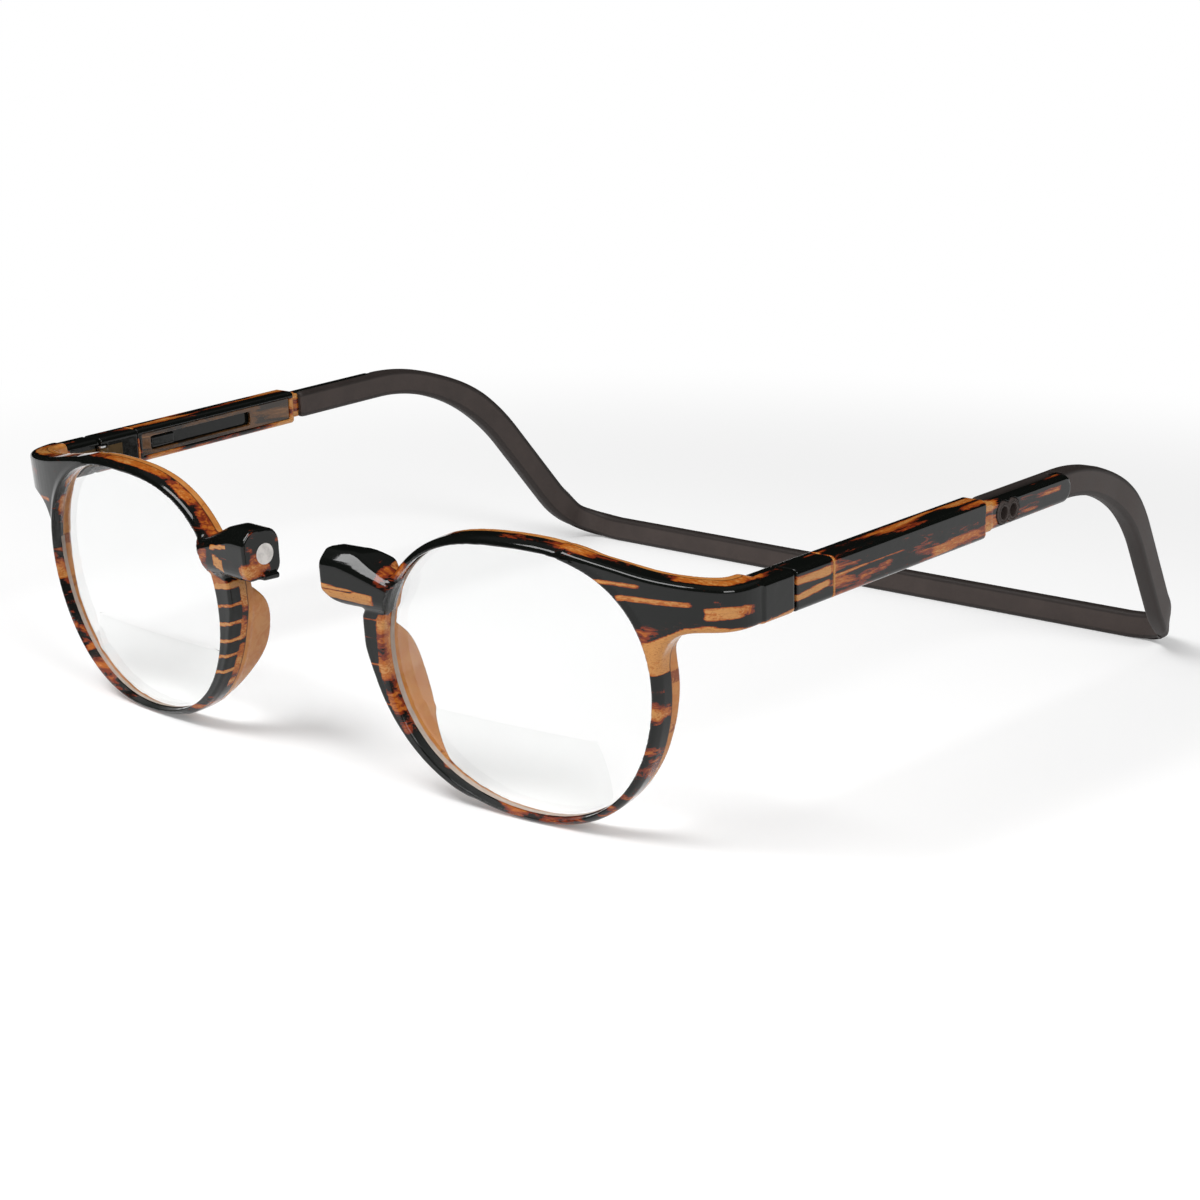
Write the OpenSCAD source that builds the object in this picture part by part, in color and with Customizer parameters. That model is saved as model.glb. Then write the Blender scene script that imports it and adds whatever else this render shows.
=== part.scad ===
// Front-opening bifocal glasses. Two rigid half fronts meet at magnets over the nose, each on a
// temple that lengthens, and one rubber neckband joins the temples behind the wearer's neck.
// +X is the wearer's left, +Y points back to the neckband, and Z is 0 where the glasses rest.

/* [Lenses] */
// Width of each lens opening
lens_w = 44.7; // [42:0.1:47]
// Height of each lens opening
lens_h = 39.3; // [38:0.1:42]
// Distance from the middle plane to each lens centre
lens_x = 39.9; // [39:0.1:42]
// Lens thickness
lens_t = 2; // [1.6:0.1:2.4]
// Depth of the lens edge in its groove
lens_bite = 0.5; // [0.3:0.05:0.7]
// Depth of the lens behind the front face
lens_set = 1.7; // [1.4:0.1:2]
// Radius of the curved front face and of the lens
base_r = 263; // [180:1:400]
// Radius of the reading segment
seg_r = 17.7; // [14:0.1:18]
// Height of the reading segment above the lens surface
seg_t = 0.15; // [0.1:0.05:0.3]
// Depth of the segment's flat top below the lens centre
seg_drop = 7; // [5:0.1:9]
// Shift of the segment towards the nose
seg_inset = 3.3; // [2:0.1:4]

/* [Half fronts] */
// Backward sweep of each half front
wrap = 5.7; // [3:0.1:8]
// Forward tilt of the top of each half front
tilt = 6.1; // [3:0.1:9]
// Width of the rim seen from the front
rim_w = 1.15; // [1:0.05:1.6]
// Depth of the rim from front to back
rim_d = 4.3; // [4.1:0.1:5]
// Extra rim width beside the nose
nose_w = 0.85; // [0.4:0.05:1.2]
// Depth of the nose pad behind the front face
pad_d = 9.7; // [8:0.1:11]
// Depth of the bridge block from front to back
block_d = 7; // [6.6:0.1:7.4]
// Height of the bridge block
block_h = 8.2; // [7.8:0.1:9]

/* [Magnets] */
// Diameter of each bridge magnet
magnet_d = 3.2; // [2.6:0.1:3.6]
// Length of each bridge magnet
magnet_l = 3; // [2:0.1:4]
// Gap between the two magnet faces when the front is closed
magnet_gap = 0.3; // [0.2:0.05:0.6]
// Protrusion of the locating lip on the right half front
lip = 0.8; // [0.5:0.05:1]

/* [Temples] */
// Width of each temple
temple_w = 4.6; // [4.4:0.1:5.2]
// Height of each temple
temple_h = 5.9; // [5.7:0.1:6.6]
// Rounding of the temple's long edges
temple_r = 0.8; // [0.4:0.1:1.2]
// Distance from the temple's front corner to the fold hinge
fold_s = 12.85; // [12:0.05:14]
// Distance from the front corner to the sleeve
root_end = 21; // [20:0.1:22]
// Length of the sleeve
sleeve_l = 37.7; // [36:0.1:40]
// Inward angle of each temple towards the back
toe = 2; // [0:0.1:3]
// Upward angle of each temple towards the back
rise = 2.6; // [1:0.1:4]
// Travel of the sleeve on its slider
travel = 18; // [12:0.5:18.5]

/* [Fold hinges] */
// Outer diameter of the hinge knuckles
knuckle_d = 2.2; // [1.8:0.1:2.4]
// Height of one hinge knuckle
knuckle_h = 0.9; // [0.8:0.05:1]
// Diameter of the hinge screw
screw_d = 0.9; // [0.7:0.05:1]

/* [Sliders] */
// Width of the slider's tongue
tongue_w = 2; // [1.6:0.1:2.1]
// Height of the slider's tongue
tongue_h = 2.7; // [2.4:0.1:2.9]
// Length of the outer tab behind the sleeve
tab_l = 24.6; // [22:0.1:28]
// Height of the outer tab
tab_h = 4.3; // [4.1:0.1:4.4]
// Length of the stop lug in the slot
lug_l = 5.3; // [4:0.1:6]
// Outer diameter of each rubber eyelet
eyelet_d = 3.5; // [3.2:0.1:3.6]
// Diameter of the hole in each eyelet
eyelet_hole = 1.9; // [1.4:0.1:2]
// Distance between the two eyelet holes
eyelet_pitch = 2.5; // [2.4:0.1:3]

/* [Neckband] */
// Height of the rubber band
band_h = 4.7; // [4.6:0.1:5.4]
// Thickness of the rubber band behind the neck
band_t = 2.4; // [2.2:0.1:2.8]
// Thickness of the band just behind the slider's tab
band_root_t = 3; // [2.8:0.1:3.2]
// Thickness of the band's strip beside the tab
strip_t = 1.8; // [1.6:0.1:1.9]
// Downward slope of the band's falling stretch
drop_deg = 49; // [40:1:60]
// Radius of the bend where the band starts to fall
fall_r = 42.9; // [36:0.1:48]
// Radius of the bend where the band becomes level
level_r = 23.3; // [18:0.1:28]
// Inward bend of the band by the end of its fall
bend_in = 8.8; // [5:0.1:12]
// Radius of each rear corner
corner_r = 5.9; // [5:0.1:7.5]
// Distance from the middle plane to each place where the band flexes
flex_x = 55; // [50:0.5:56]
// Angle by which each side stands open at rest
rest_open = 2.95; // [2:0.05:3.5]

/* [Hidden] */
$fn = 48;
left = 1;
right = -1;

// Clearances
seat = 0.02;
glue = 0.05;
run = 0.05;
slide_gap = 0.15;
lip_gap = 0.25;
past = 1;
far = 40;

// Lens outline: radius at angle a, measured from the temple side, from the opening's two sizes
mean_r = (lens_w + lens_h) / 4 / 0.983;
wide_r = (lens_w - lens_h) / 4;
lens_steps = 72;
function skew(a) = 0.005 * sin(2 * a) - 0.0088 * cos(3 * a) + 0.0208 * sin(3 * a);
function square_off(a) = 0.0034 * sin(4 * a) - 0.0173 * cos(4 * a);
function lens_r(a) = mean_r * (1 + skew(a) + square_off(a)) + wide_r * cos(2 * a);
nose_dir = 188;
foot_slim = 0.15;
function bulge(a) = pow(max(0, cos(a - nose_dir)), 8) * nose_w;
function slim(a) = pow(max(0, -sin(a)), 6) * foot_slim;
function rim_r(a) = lens_r(a) + rim_w + bulge(a) - slim(a);
nose_edge = rim_r(180);
side_edge = rim_r(0);
brow_edge = rim_r(90);
low_edge = rim_r(270);

// Rim bevels: how far back each one starts and how much it narrows the rim per mm
rim_sag = 0.9;
front_bevel = 1.1;
front_slope = 0.68;
rear_bevel = 3.2;
rear_slope = 0.4;

// Height of the lens centre: the rims stand on a small flat foot
foot_cut = 0.12;
low_sag = low_edge * low_edge / (2 * base_r) + front_bevel;
lens_z = low_edge * cos(tilt) - low_sag * sin(tilt) - foot_cut;

// Front corner of the temple's top, from the lens centre
temple_x = lens_x + side_edge + 7.6;
temple_y = 6.3;
temple_z = lens_z + brow_edge * cos(tilt) - 3.12;
half_w = temple_w / 2;
mid_h = -temple_h / 2;
sleeve_s = root_end + glue;
sleeve_end = root_end + sleeve_l;

// Fold hinge
hinge_n = -half_w;
knuckle_step = knuckle_h + 2 * run;
relief_r = knuckle_d / 2 + 4 * run;
leaf_t = 0.6;
leaf_l = 3.4;
leaf_h = 2 * knuckle_step + knuckle_h;
leaf_gap = 1.2;
head_d = 1.6;
head_t = 0.3;

// Sleeve channel, cover and slider
channel_n = half_w - 1.4;
tongue_n = channel_n - slide_gap - tongue_w;
cover_t = 0.65;
cover_n = tongue_n - slide_gap - cover_t;
cover_h = tongue_h + 1.25;
cover_s = root_end + 1;
cover_l = sleeve_l - 2;
slot_s = root_end + 3.1;
slot_end_gap = 0.2;
lug_s = slot_s + slot_end_gap;
slot_l = lug_l + travel + 2 * slot_end_gap;
lug_h = 2;
tab_s = sleeve_end + slide_gap;
tab_end = tab_s + tab_l;
tab_n = half_w - 0.4;
tab_t = 2.25;
tab_in = tab_n - tab_t;
shoulder_l = 2;
eyelet_s = tab_s + 4.95;
eyelet_proud = 0.25;

// Band route: a straight strip, a bend down, a slope, a bend to level and a rear corner
strip_s = tab_s + shoulder_l + glue;
band_n = tab_in - glue - strip_t / 2;
hump = fall_r * (drop_deg + rise) * PI / 180;
valley = level_r * drop_deg * PI / 180;
band_z0 = temple_z + mid_h * cos(rise);
fall_start = tab_end - 1;
fallen = fall_r * (cos(rise) - cos(drop_deg)) + level_r * (1 - cos(drop_deg));
slope_l = (band_z0 + fall_start * sin(rise) - fallen - band_h / 2) / sin(drop_deg);
slope_s = fall_start + hump;
level_s = slope_s + slope_l + valley;
corner_s = level_s - 11.3;
corner_l = corner_r * (90 - bend_in) * PI / 180;
route_end = max(level_s, corner_s + corner_l);
route_steps = 200;
route_step = (route_end - strip_s) / route_steps;
function ramp(s, a, b, p, q) = s <= a ? p : s >= b ? q : p + (q - p) * (s - a) / (b - a);
function pitch(s) = s < slope_s + slope_l
    ? ramp(s, fall_start, slope_s, rise, -drop_deg)
    : ramp(s, slope_s + slope_l, level_s, -drop_deg, 0);
function heading(s) = s < corner_s
    ? ramp(s, fall_start - 4, slope_s, -toe, bend_in)
    : ramp(s, corner_s, corner_s + corner_l, bend_in, 90);
function along(s) = [-sin(heading(s)) * cos(pitch(s)), cos(heading(s)) * cos(pitch(s)), sin(pitch(s))];
function across(s) = [cos(heading(s)), sin(heading(s)), 0];
function upward(s) = cross(across(s), along(s));
function spot(n, s, h) = [temple_x, temple_y, temple_z] + n * across(0) + s * along(0) + h * upward(0);
route_start = spot(band_n, strip_s, mid_h);
route = [for (i = 0, p = route_start; i <= route_steps;
    p = p + route_step * along(strip_s + (i + 0.5) * route_step), i = i + 1) p];
flex_y = route[route_steps][1];

// Band section: a strip beside the tab, full thickness behind it, then the thin neck stretch
root_s = tab_end - 1.4;
full_s = tab_end - 0.2;
thin_s = tab_end + 20;
function band_at(s) = s < thin_s
    ? ramp(s, root_s, full_s, strip_t, band_root_t)
    : band_t;
function thin_down(s) = ramp(s, full_s, thin_s, 0, band_root_t - band_t);
function thick(s) = s < thin_s ? band_at(s) - thin_down(s) : band_t;
function outset(s) = (ramp(s, root_s, full_s, 0, band_root_t - strip_t) - thin_down(s)) / 2;
edge_r = 0.7;
function corner(x, y, i, j) = [
    [i * x, j * (y - edge_r)], [i * (x - 0.3 * edge_r), j * (y - 0.3 * edge_r)], [i * (x - edge_r), j * y]];
function turn(list, flip) = flip ? [list[2], list[1], list[0]] : list;
function section(t, h) = concat(
    turn(corner(t / 2, h / 2, 1, 1), false), turn(corner(t / 2, h / 2, -1, 1), true),
    turn(corner(t / 2, h / 2, -1, -1), false), turn(corner(t / 2, h / 2, 1, -1), true));

// Flex of the band: a round end turns in a hollow end
flex_knuckle_r = band_t / 2 - 0.1;
flex_hollow_r = flex_knuckle_r + 0.08;
flex_side_gap = 0.4;
flex_centre_gap = 0.3;

// Nose pad: where it leaves the rim and how far it leans towards the lens
pad_w = 3.6;
pad_lean = 9;
skirt_w = 2;
skirt_lean = 8.5;

// Bridge face: the plane that lies at half the magnet gap when a side is closed
block_top = brow_edge - 5.7;
block_low = block_top - block_h;
block_fall = 17;
magnet_v = block_top - 4.2;
magnet_w = -4;
lip_foot = block_low - magnet_v + 0.1;
lip_front = -0.9;
lip_h = 1;
lip_back = block_d + magnet_w - 0.8;
function out(u, v, w) = [
    lens_x + u * cos(wrap) + (v * sin(tilt) + w * cos(tilt)) * sin(wrap),
    u * sin(wrap) - (v * sin(tilt) + w * cos(tilt)) * cos(wrap),
    lens_z + v * cos(tilt) - w * sin(tilt)];
function closed_x(p) = flex_x + (p[0] - flex_x) * cos(rest_open) + (p[1] - flex_y) * sin(rest_open);
function closed_y(p) = flex_y - (p[0] - flex_x) * sin(rest_open) + (p[1] - flex_y) * cos(rest_open);
function face_u(v, w) = (magnet_gap / 2 - closed_x(out(0, v, w))) / cos(wrap - rest_open);
magnet_at = out(face_u(magnet_v, magnet_w), magnet_v, magnet_w);
nose_u = face_u(magnet_v, magnet_w);

// Middle of the whole length, which becomes Y = 0
edge_v = block_top - 1.7;
front_y = out(face_u(edge_v, 0), edge_v, 0)[1];
back_y = flex_y + band_t / 2;
mid_y = (front_y + back_y) / 2;

module place(side) {
    mirror([side == right ? 1 : 0, 0, 0]) translate([0, -mid_y, 0]) children();
}

module at_lens() {
    translate([lens_x, 0, lens_z]) rotate([90 + tilt, 0, wrap]) children();
}

module at_temple() {
    translate([temple_x, temple_y, temple_z]) rotate([rise, 0, -toe]) children();
}

module at_closed() {
    translate([flex_x, flex_y, 0]) rotate([0, 0, rest_open]) translate([-flex_x, -flex_y, 0]) children();
}

module at_magnet() {
    at_closed() translate([magnet_gap / 2, closed_y(magnet_at), magnet_at[2]]) rotate([0, -90, 0]) children();
}

// Box between two corners, given as across, along and up
module box(a, b) {
    translate(a) cube(b - a);
}

// Flat shape in the along and up plane, given a thickness across the temple
module slab(n, t) {
    translate([n, 0, 0]) rotate([90, 0, 90]) linear_extrude(t) children();
}

module rounded(w, h, r) {
    square([w - 2 * r, h], center = true);
    square([w, h - 2 * r], center = true);
    for (i = [-1, 1]) for (j = [-1, 1]) translate([i * (w / 2 - r), j * (h / 2 - r)]) circle(r);
}

module outline(grow) {
    polygon([for (i = [0 : lens_steps - 1]) let (a = 360 * i / lens_steps)
        (lens_r(a) + grow) * [cos(a), sin(a)]]);
}

module rim_outline() {
    polygon([for (i = [0 : lens_steps - 1]) let (a = 360 * i / lens_steps) rim_r(a) * [cos(a), sin(a)]]);
}

// Curved slice: everything between two depths behind the front face
module slice(front, back) {
    intersection() {
        difference() {
            translate([0, 0, -base_r - front]) sphere(base_r, $fn = 240);
            translate([0, 0, -base_r - back]) sphere(base_r, $fn = 240);
        }
        children();
    }
}

module prism(a, b) {
    translate([0, 0, a]) linear_extrude(b - a) children();
}

// Rim outline carried from one depth to another, narrowing by the slope on the way
module tapered(from, to, slope) {
    t = abs(to - from);
    translate([0, 0, from]) mirror([0, 0, to < from ? 1 : 0])
        linear_extrude(t, scale = 1 - slope * t / mean_r) rim_outline();
}

module rim() {
    slice(0, rim_d) {
        tapered(-rim_sag - front_bevel, past, front_slope);
        prism(-rim_sag - rear_bevel, -rim_sag - front_bevel) rim_outline();
        tapered(-rim_sag - rear_bevel, -rim_d - 3, rear_slope);
    }
}

// Pad frame: leans towards the lens behind the rim
module at_pad() {
    translate([-nose_edge, 0, -pad_w]) rotate([0, -pad_lean, 0]) translate([nose_edge, 0, pad_w]) children();
}

// Nose pad: the rim's wall beside the nose, carried backwards
module nose_pad() {
    intersection() {
        at_pad() prism(-pad_d - 2 * past, -pad_w + 0.4) difference() {
            rim_outline();
            outline(0);
        }
        translate([-far, 0, 0]) rotate([90, 0, 90]) linear_extrude(far - lens_w / 4 + past)
            polygon([[5.5, -pad_w + past], [4.6, -rim_d], [3.2, -0.62 * pad_d], [1.2, -0.83 * pad_d],
                [-1.5, -0.96 * pad_d], [-5, -pad_d], [-8.6, -0.96 * pad_d], [-12, -0.77 * pad_d],
                [-16.5, -rim_d - 0.6], [-18.5, -rim_d], [-18.5, -pad_w + past]]);
    }
}

// Bridge block: a bevelled bar from the rim to the middle plane, with a top that falls to the rim
module bridge_block() {
    difference() {
        intersection() {
            translate([-far, 0, 0]) rotate([90, 0, 90]) linear_extrude(far - nose_edge + 6)
                polygon([[block_low, -1.4], [block_low + 0.5, -0.6], [block_low + 1.6, 0], [edge_v, 0],
                    [block_top, 0.3 - block_d / 3], [block_top - 0.7, 1 - block_d], [block_top - 2.2, -block_d],
                    [block_low + 1.3, 0.2 - block_d], [block_low, 1.6 - block_d]]);
            prism(-block_d - past, past)
                polygon([[-far, block_top + 1], [nose_u + 4, block_top + 1], [-nose_edge - 1.6, block_top - 0.7],
                    [-nose_edge, block_top - 1.5], [-nose_edge + 6, block_top - 3.4], [-nose_edge + 6, block_low],
                    [-nose_edge, block_low], [nose_u + 1.5, block_low + 0.4], [nose_u, block_low + 0.9],
                    [-far, block_low + 0.9]]);
        }
        translate([nose_u + 3, edge_v, 0]) rotate([0, 0, -block_fall]) rotate([45, 0, 0])
            translate([-far, 0, -far]) cube(2 * far);
        translate([-nose_edge + 0.8, 0, -rim_d - rim_sag - far]) cube(far);
    }
}

// Rim shoulder: fills the corner between the block and the rim
module nose_fillet() {
    slice(0, rim_d) prism(-rim_d - 4, past)
        polygon([[-nose_edge + 1.5, block_low + 1.5], [-nose_edge - 2.9, block_low + 1.5],
            [-nose_edge - 2.3, block_low - 0.4], [-nose_edge - 1.7, block_low - 1.6],
            [-nose_edge - 1.5, block_low - 3.4], [-nose_edge - 1.5, block_low - 5.6],
            [-nose_edge - 0.7, block_low - 8.2], [-nose_edge - 0.2, block_low - 10], [-nose_edge + 0.5, block_low - 12],
            [-nose_edge + 1.5, block_low - 12]]);
}

// Endpiece: sweeps back from the rim's upper corner to the temple
module endpiece() {
    top = brow_edge - 3.1;
    u = side_edge;
    intersection() {
        translate([0, far, 0]) rotate([90, 0, 0]) linear_extrude(2 * far)
            polygon([[u - 16, -0.95], [u - 8, -1.15], [u - 4, -1.35], [u - 0.5, -1.7], [u + 3.4, -2.4],
                [u + 6.4, -3.6], [u + 8.6, -5.1], [u + 9.9, -7], [u + 10.6, -9.4], [u + 10.7, -10.6],
                [u + 6.1, -10.4], [u + 5.4, -8.2], [u + 3.4, -6.9], [u, -5.9], [u - 5, -5.4], [u - 8, -5.1], [u - 16, -5]]);
        prism(-12, past)
            polygon([[u - 16, top + 3], [u - 10.3, top + 1.95], [u - 6, top + 1.3], [u - 3, top + 0.75],
                [u, top + 0.35], [u + 6, top], [u + 12, top - 0.3],
                [u + 12, top - temple_h - 0.4], [u + 4, top - temple_h - 0.6], [u + 1.4, top - temple_h - 1.6],
                [u, top - temple_h - 3.6], [u - 0.4, top - temple_h - 6.6], [u - 9, top - temple_h - 6.6]]);
    }
}

// Side skirt: beside the temple the rim is deeper, and leans outwards behind the lens
module side_skirt() {
    back = rim_d + rim_sag;
    intersection() {
        translate([side_edge, 0, -skirt_w]) rotate([0, skirt_lean, 0]) translate([-side_edge, 0, skirt_w])
            prism(-far, -rim_sag - rear_bevel) difference() {
                rim_outline();
                outline(0);
            }
        rotate([90, 0, 90]) linear_extrude(far)
            polygon([[12, -past], [12, -back - 0.8], [2, -back - 0.7], [-2, -back - 0.4],
                [-6, -back - 0.1], [-16, 0.3 - back], [-16, -past]]);
    }
}

module hinge_relief() {
    translate([hinge_n, fold_s, mid_h]) cylinder(r = relief_r, h = 3 * knuckle_step + 2 * head_t, center = true);
}

module leaf_pocket(way) {
    far_s = fold_s + way * (leaf_gap + leaf_l + seat);
    box([hinge_n - past, min(fold_s, far_s), mid_h - leaf_h / 2 - seat],
        [hinge_n + leaf_t + seat, max(fold_s, far_s), mid_h + leaf_h / 2 + seat]);
}

module front(side) {
    difference() {
        union() {
            difference() {
                at_lens() {
                    rim();
                    bridge_block();
                    nose_fillet();
                    endpiece();
                }
                at_lens() prism(-pad_d - 4, 4) outline(0);
            }
            at_lens() nose_pad();
            at_lens() side_skirt();
            at_temple() box([-half_w, 3, -temple_h - 0.2], [half_w, fold_s - run, 0]);
        }
        at_lens() slice(lens_set - glue, lens_set + lens_t + glue) prism(-9, 0) outline(lens_bite + glue);
        at_closed() translate([magnet_gap / 2 - far, -far, -past]) cube([far, 2 * far, 2 * far]);
        at_magnet() translate([0, 0, -magnet_l - seat]) cylinder(d = magnet_d + 2 * seat, h = magnet_l + past);
        if (side == left) at_magnet() notch();
        at_temple() hinge_relief();
        at_temple() leaf_pocket(-1);
        translate([-far, -far, -far]) cube([4 * far, 3 * far, far]);
    }
    if (side == right) at_magnet() locating_lip();
}

// Locating lip at the lower rear of the bridge face
module locating_lip() {
    box([lip_foot, lip_front, -past], [lip_foot + lip_h, lip_back, lip]);
}

// Notch in the left half front that the lip enters, open at the bottom
module notch() {
    box([lip_foot - past, lip_front - lip_gap, magnet_gap - lip - lip_gap],
        [lip_foot + lip_h + lip_gap, lip_back + lip_gap, past]);
}

module lens() {
    at_lens() {
        slice(lens_set, lens_set + lens_t) prism(-9, 0) outline(lens_bite);
        slice(lens_set - seg_t, lens_set + lens_t / 2) prism(-9, 0) intersection() {
            outline(-0.4);
            difference() {
                translate([-seg_inset, -seg_drop - 7.8]) circle(seg_r);
                translate([-far, -seg_drop]) square(2 * far);
            }
        }
    }
}

module bridge_magnet() {
    at_magnet() translate([0, 0, -magnet_l]) cylinder(d = magnet_d, h = magnet_l);
}

// One leaf: an inlaid plate, a web and its knuckles; way is -1 for the front, 1 for the temple
module hinge_leaf(way) {
    steps = way < 0 ? [0] : [-1, 1];
    bore = way < 0 ? screw_d / 2 + run : screw_d / 2 + seat;
    near_s = fold_s + way * leaf_gap;
    far_s = near_s + way * leaf_l;
    at_temple() difference() {
        union() {
            box([hinge_n, min(near_s, far_s), mid_h - leaf_h / 2],
                [hinge_n + leaf_t, max(near_s, far_s), mid_h + leaf_h / 2]);
            for (k = steps) translate([0, 0, mid_h + k * knuckle_step]) {
                translate([hinge_n, fold_s, 0]) cylinder(d = knuckle_d, h = knuckle_h, center = true);
                box([hinge_n, min(fold_s, near_s + 0.3 * way), -knuckle_h / 2],
                    [hinge_n + leaf_t, max(fold_s, near_s + 0.3 * way), knuckle_h / 2]);
            }
        }
        translate([hinge_n, fold_s, mid_h]) cylinder(r = bore, h = 3 * knuckle_step + past, center = true);
    }
}

module hinge_screw() {
    top = mid_h + 1.5 * knuckle_step - run;
    at_temple() translate([hinge_n, fold_s, 0]) {
        translate([0, 0, top]) cylinder(d = head_d, h = head_t);
        translate([0, 0, top - 3 * knuckle_step + 2 * run]) cylinder(d = screw_d, h = 3 * knuckle_step - run);
    }
}

module temple_bar(a, b) {
    translate([0, b, mid_h]) rotate([90, 0, 0]) linear_extrude(b - a) rounded(temple_w, temple_h, temple_r);
}

module temple_root() {
    at_temple() difference() {
        temple_bar(fold_s + run, root_end);
        hinge_relief();
        leaf_pocket(1);
    }
}

module temple_sleeve() {
    at_temple() difference() {
        temple_bar(sleeve_s, sleeve_end);
        box([cover_n + cover_t, cover_s, mid_h - tongue_h / 2 - slide_gap],
            [channel_n, sleeve_end + past, mid_h + tongue_h / 2 + slide_gap]);
        box([-half_w - past, cover_s, mid_h - cover_h / 2 - seat],
            [cover_n + cover_t + seat, cover_s + cover_l, mid_h + cover_h / 2 + seat]);
    }
}

module sleeve_cover() {
    at_temple() difference() {
        box([cover_n, cover_s + seat, mid_h - cover_h / 2], [cover_n + cover_t, cover_s + cover_l - seat, mid_h + cover_h / 2]);
        box([cover_n - past, slot_s, mid_h - lug_h / 2 - slide_gap],
            [cover_n + cover_t + past, slot_s + slot_l, mid_h + lug_h / 2 + slide_gap]);
    }
}

module eyelet_spots() {
    for (k = [0, 1]) translate([0, eyelet_s + k * eyelet_pitch, mid_h]) rotate([0, 90, 0]) children();
}

module tab_outline(grow) {
    translate([tab_s, mid_h - tab_h / 2 - grow]) square([tab_l - tab_h / 2, tab_h + 2 * grow]);
    translate([tab_end - tab_h / 2, mid_h]) circle(tab_h / 2 + grow);
}

module slider() {
    at_temple() {
        box([tongue_n, lug_s, mid_h - tongue_h / 2], [tongue_n + tongue_w, tab_s + past, mid_h + tongue_h / 2]);
        box([cover_n + 0.1, lug_s, mid_h - lug_h / 2], [tongue_n + past, lug_s + lug_l, mid_h + lug_h / 2]);
        box([tongue_n - 0.1, tab_s, mid_h - tab_h / 2], [tab_n, tab_s + shoulder_l, mid_h + tab_h / 2]);
        difference() {
            slab(tab_in, tab_t) tab_outline(0);
            eyelet_spots() cylinder(d = eyelet_d + 2 * glue, h = far, center = true);
        }
    }
}

module band_eyelets() {
    at_temple() difference() {
        eyelet_spots() translate([0, 0, tab_in - glue]) cylinder(d = eyelet_d, h = tab_t + glue + eyelet_proud);
        eyelet_spots() cylinder(d = eyelet_hole, h = far, center = true);
    }
}

// Band rings: close together where the section changes, then at an even step
ring_steps = concat([0, 30, 36, 39], [for (i = [44 : 4 : route_steps]) i]);
module neckband() {
    rings = len(ring_steps) + 1;
    sides = 12;
    points = [for (r = [0 : rings - 1]) let (
            last = r == rings - 1,
            i = last ? route_steps : ring_steps[r],
            s = strip_s + i * route_step,
            p = last ? [flex_x + flex_side_gap, flex_y, band_h / 2] : route[i])
        for (q = section(thick(s), band_h)) p + (q[0] + outset(s)) * across(s) + q[1] * upward(s)];
    walls = [for (r = [0 : rings - 2], k = [0 : sides - 1]) let (n = (k + 1) % sides)
        [r * sides + k, r * sides + n, (r + 1) * sides + n, (r + 1) * sides + k]];
    caps = [[for (k = [sides - 1 : -1 : 0]) k], [for (k = [0 : sides - 1]) (rings - 1) * sides + k]];
    difference() {
        polyhedron(points, concat(walls, caps));
        at_temple() slab(tab_in - glue, far) tab_outline(slide_gap);
    }
    translate([flex_x, flex_y, 0.25]) cylinder(r = flex_knuckle_r, h = band_h - 0.5);
}

module neckband_centre() {
    half = flex_x - flex_centre_gap;
    translate([0, flex_y - mid_y, band_h / 2]) difference() {
        rotate([90, 0, 90]) translate([0, 0, -half]) linear_extrude(2 * half) polygon(section(band_t, band_h));
        for (i = [-1, 1]) translate([i * flex_x, 0, 0]) cylinder(r = flex_hollow_r, h = band_h + past, center = true);
    }
}

color("#3e3432") neckband_centre();
color("#4a3e3b") place(left) neckband();  // neckband_left
color("#4a3e3b") place(right) neckband();  // neckband_right
color("#332b29") place(left) band_eyelets();  // band_eyelets_left
color("#332b29") place(right) band_eyelets();  // band_eyelets_right
color("#b0672a") place(left) slider();  // slider_left
color("#b0672a") place(right) slider();  // slider_right
color("#5a2d16") place(left) temple_sleeve();  // temple_sleeve_left
color("#5a2d16") place(right) temple_sleeve();  // temple_sleeve_right
color("#8a4a1e") place(left) sleeve_cover();  // sleeve_cover_left
color("#8a4a1e") place(right) sleeve_cover();  // sleeve_cover_right
color("#6b3519") place(left) temple_root();  // temple_root_left
color("#6b3519") place(right) temple_root();  // temple_root_right
color("#c9a24a") place(left) hinge_leaf(1);  // hinge_leaf_temple_left
color("#c9a24a") place(right) hinge_leaf(1);  // hinge_leaf_temple_right
color("#d8d8d8") place(left) hinge_screw();  // hinge_screw_left
color("#d8d8d8") place(right) hinge_screw();  // hinge_screw_right
color("#b98f3a") place(left) hinge_leaf(-1);  // hinge_leaf_front_left
color("#b98f3a") place(right) hinge_leaf(-1);  // hinge_leaf_front_right
color("#7a3c1a") place(left) front(left);  // front_left
color("#7a3c1a") place(right) front(right);  // front_right
color("#cfe3e8") place(left) lens();  // lens_left
color("#cfe3e8") place(right) lens();  // lens_right
color("#bdbdbd") place(left) bridge_magnet();  // bridge_magnet_left
color("#bdbdbd") place(right) bridge_magnet();  // bridge_magnet_right
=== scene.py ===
"""Looks of the front-opening bifocal glasses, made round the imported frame.

Local frames, in millimetres: lens frame u to the temple, v up, w out of the front face;
temple frame n outwards, s back along the temple, h up. The right side is the left one mirrored.
"""
from functools import partial
from math import acos, atan2, cos, hypot, pi, radians, sin, sqrt, tan

import bpy
import numpy as np
from mathutils import Matrix, Vector
from mathutils.geometry import delaunay_2d_cdt


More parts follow.
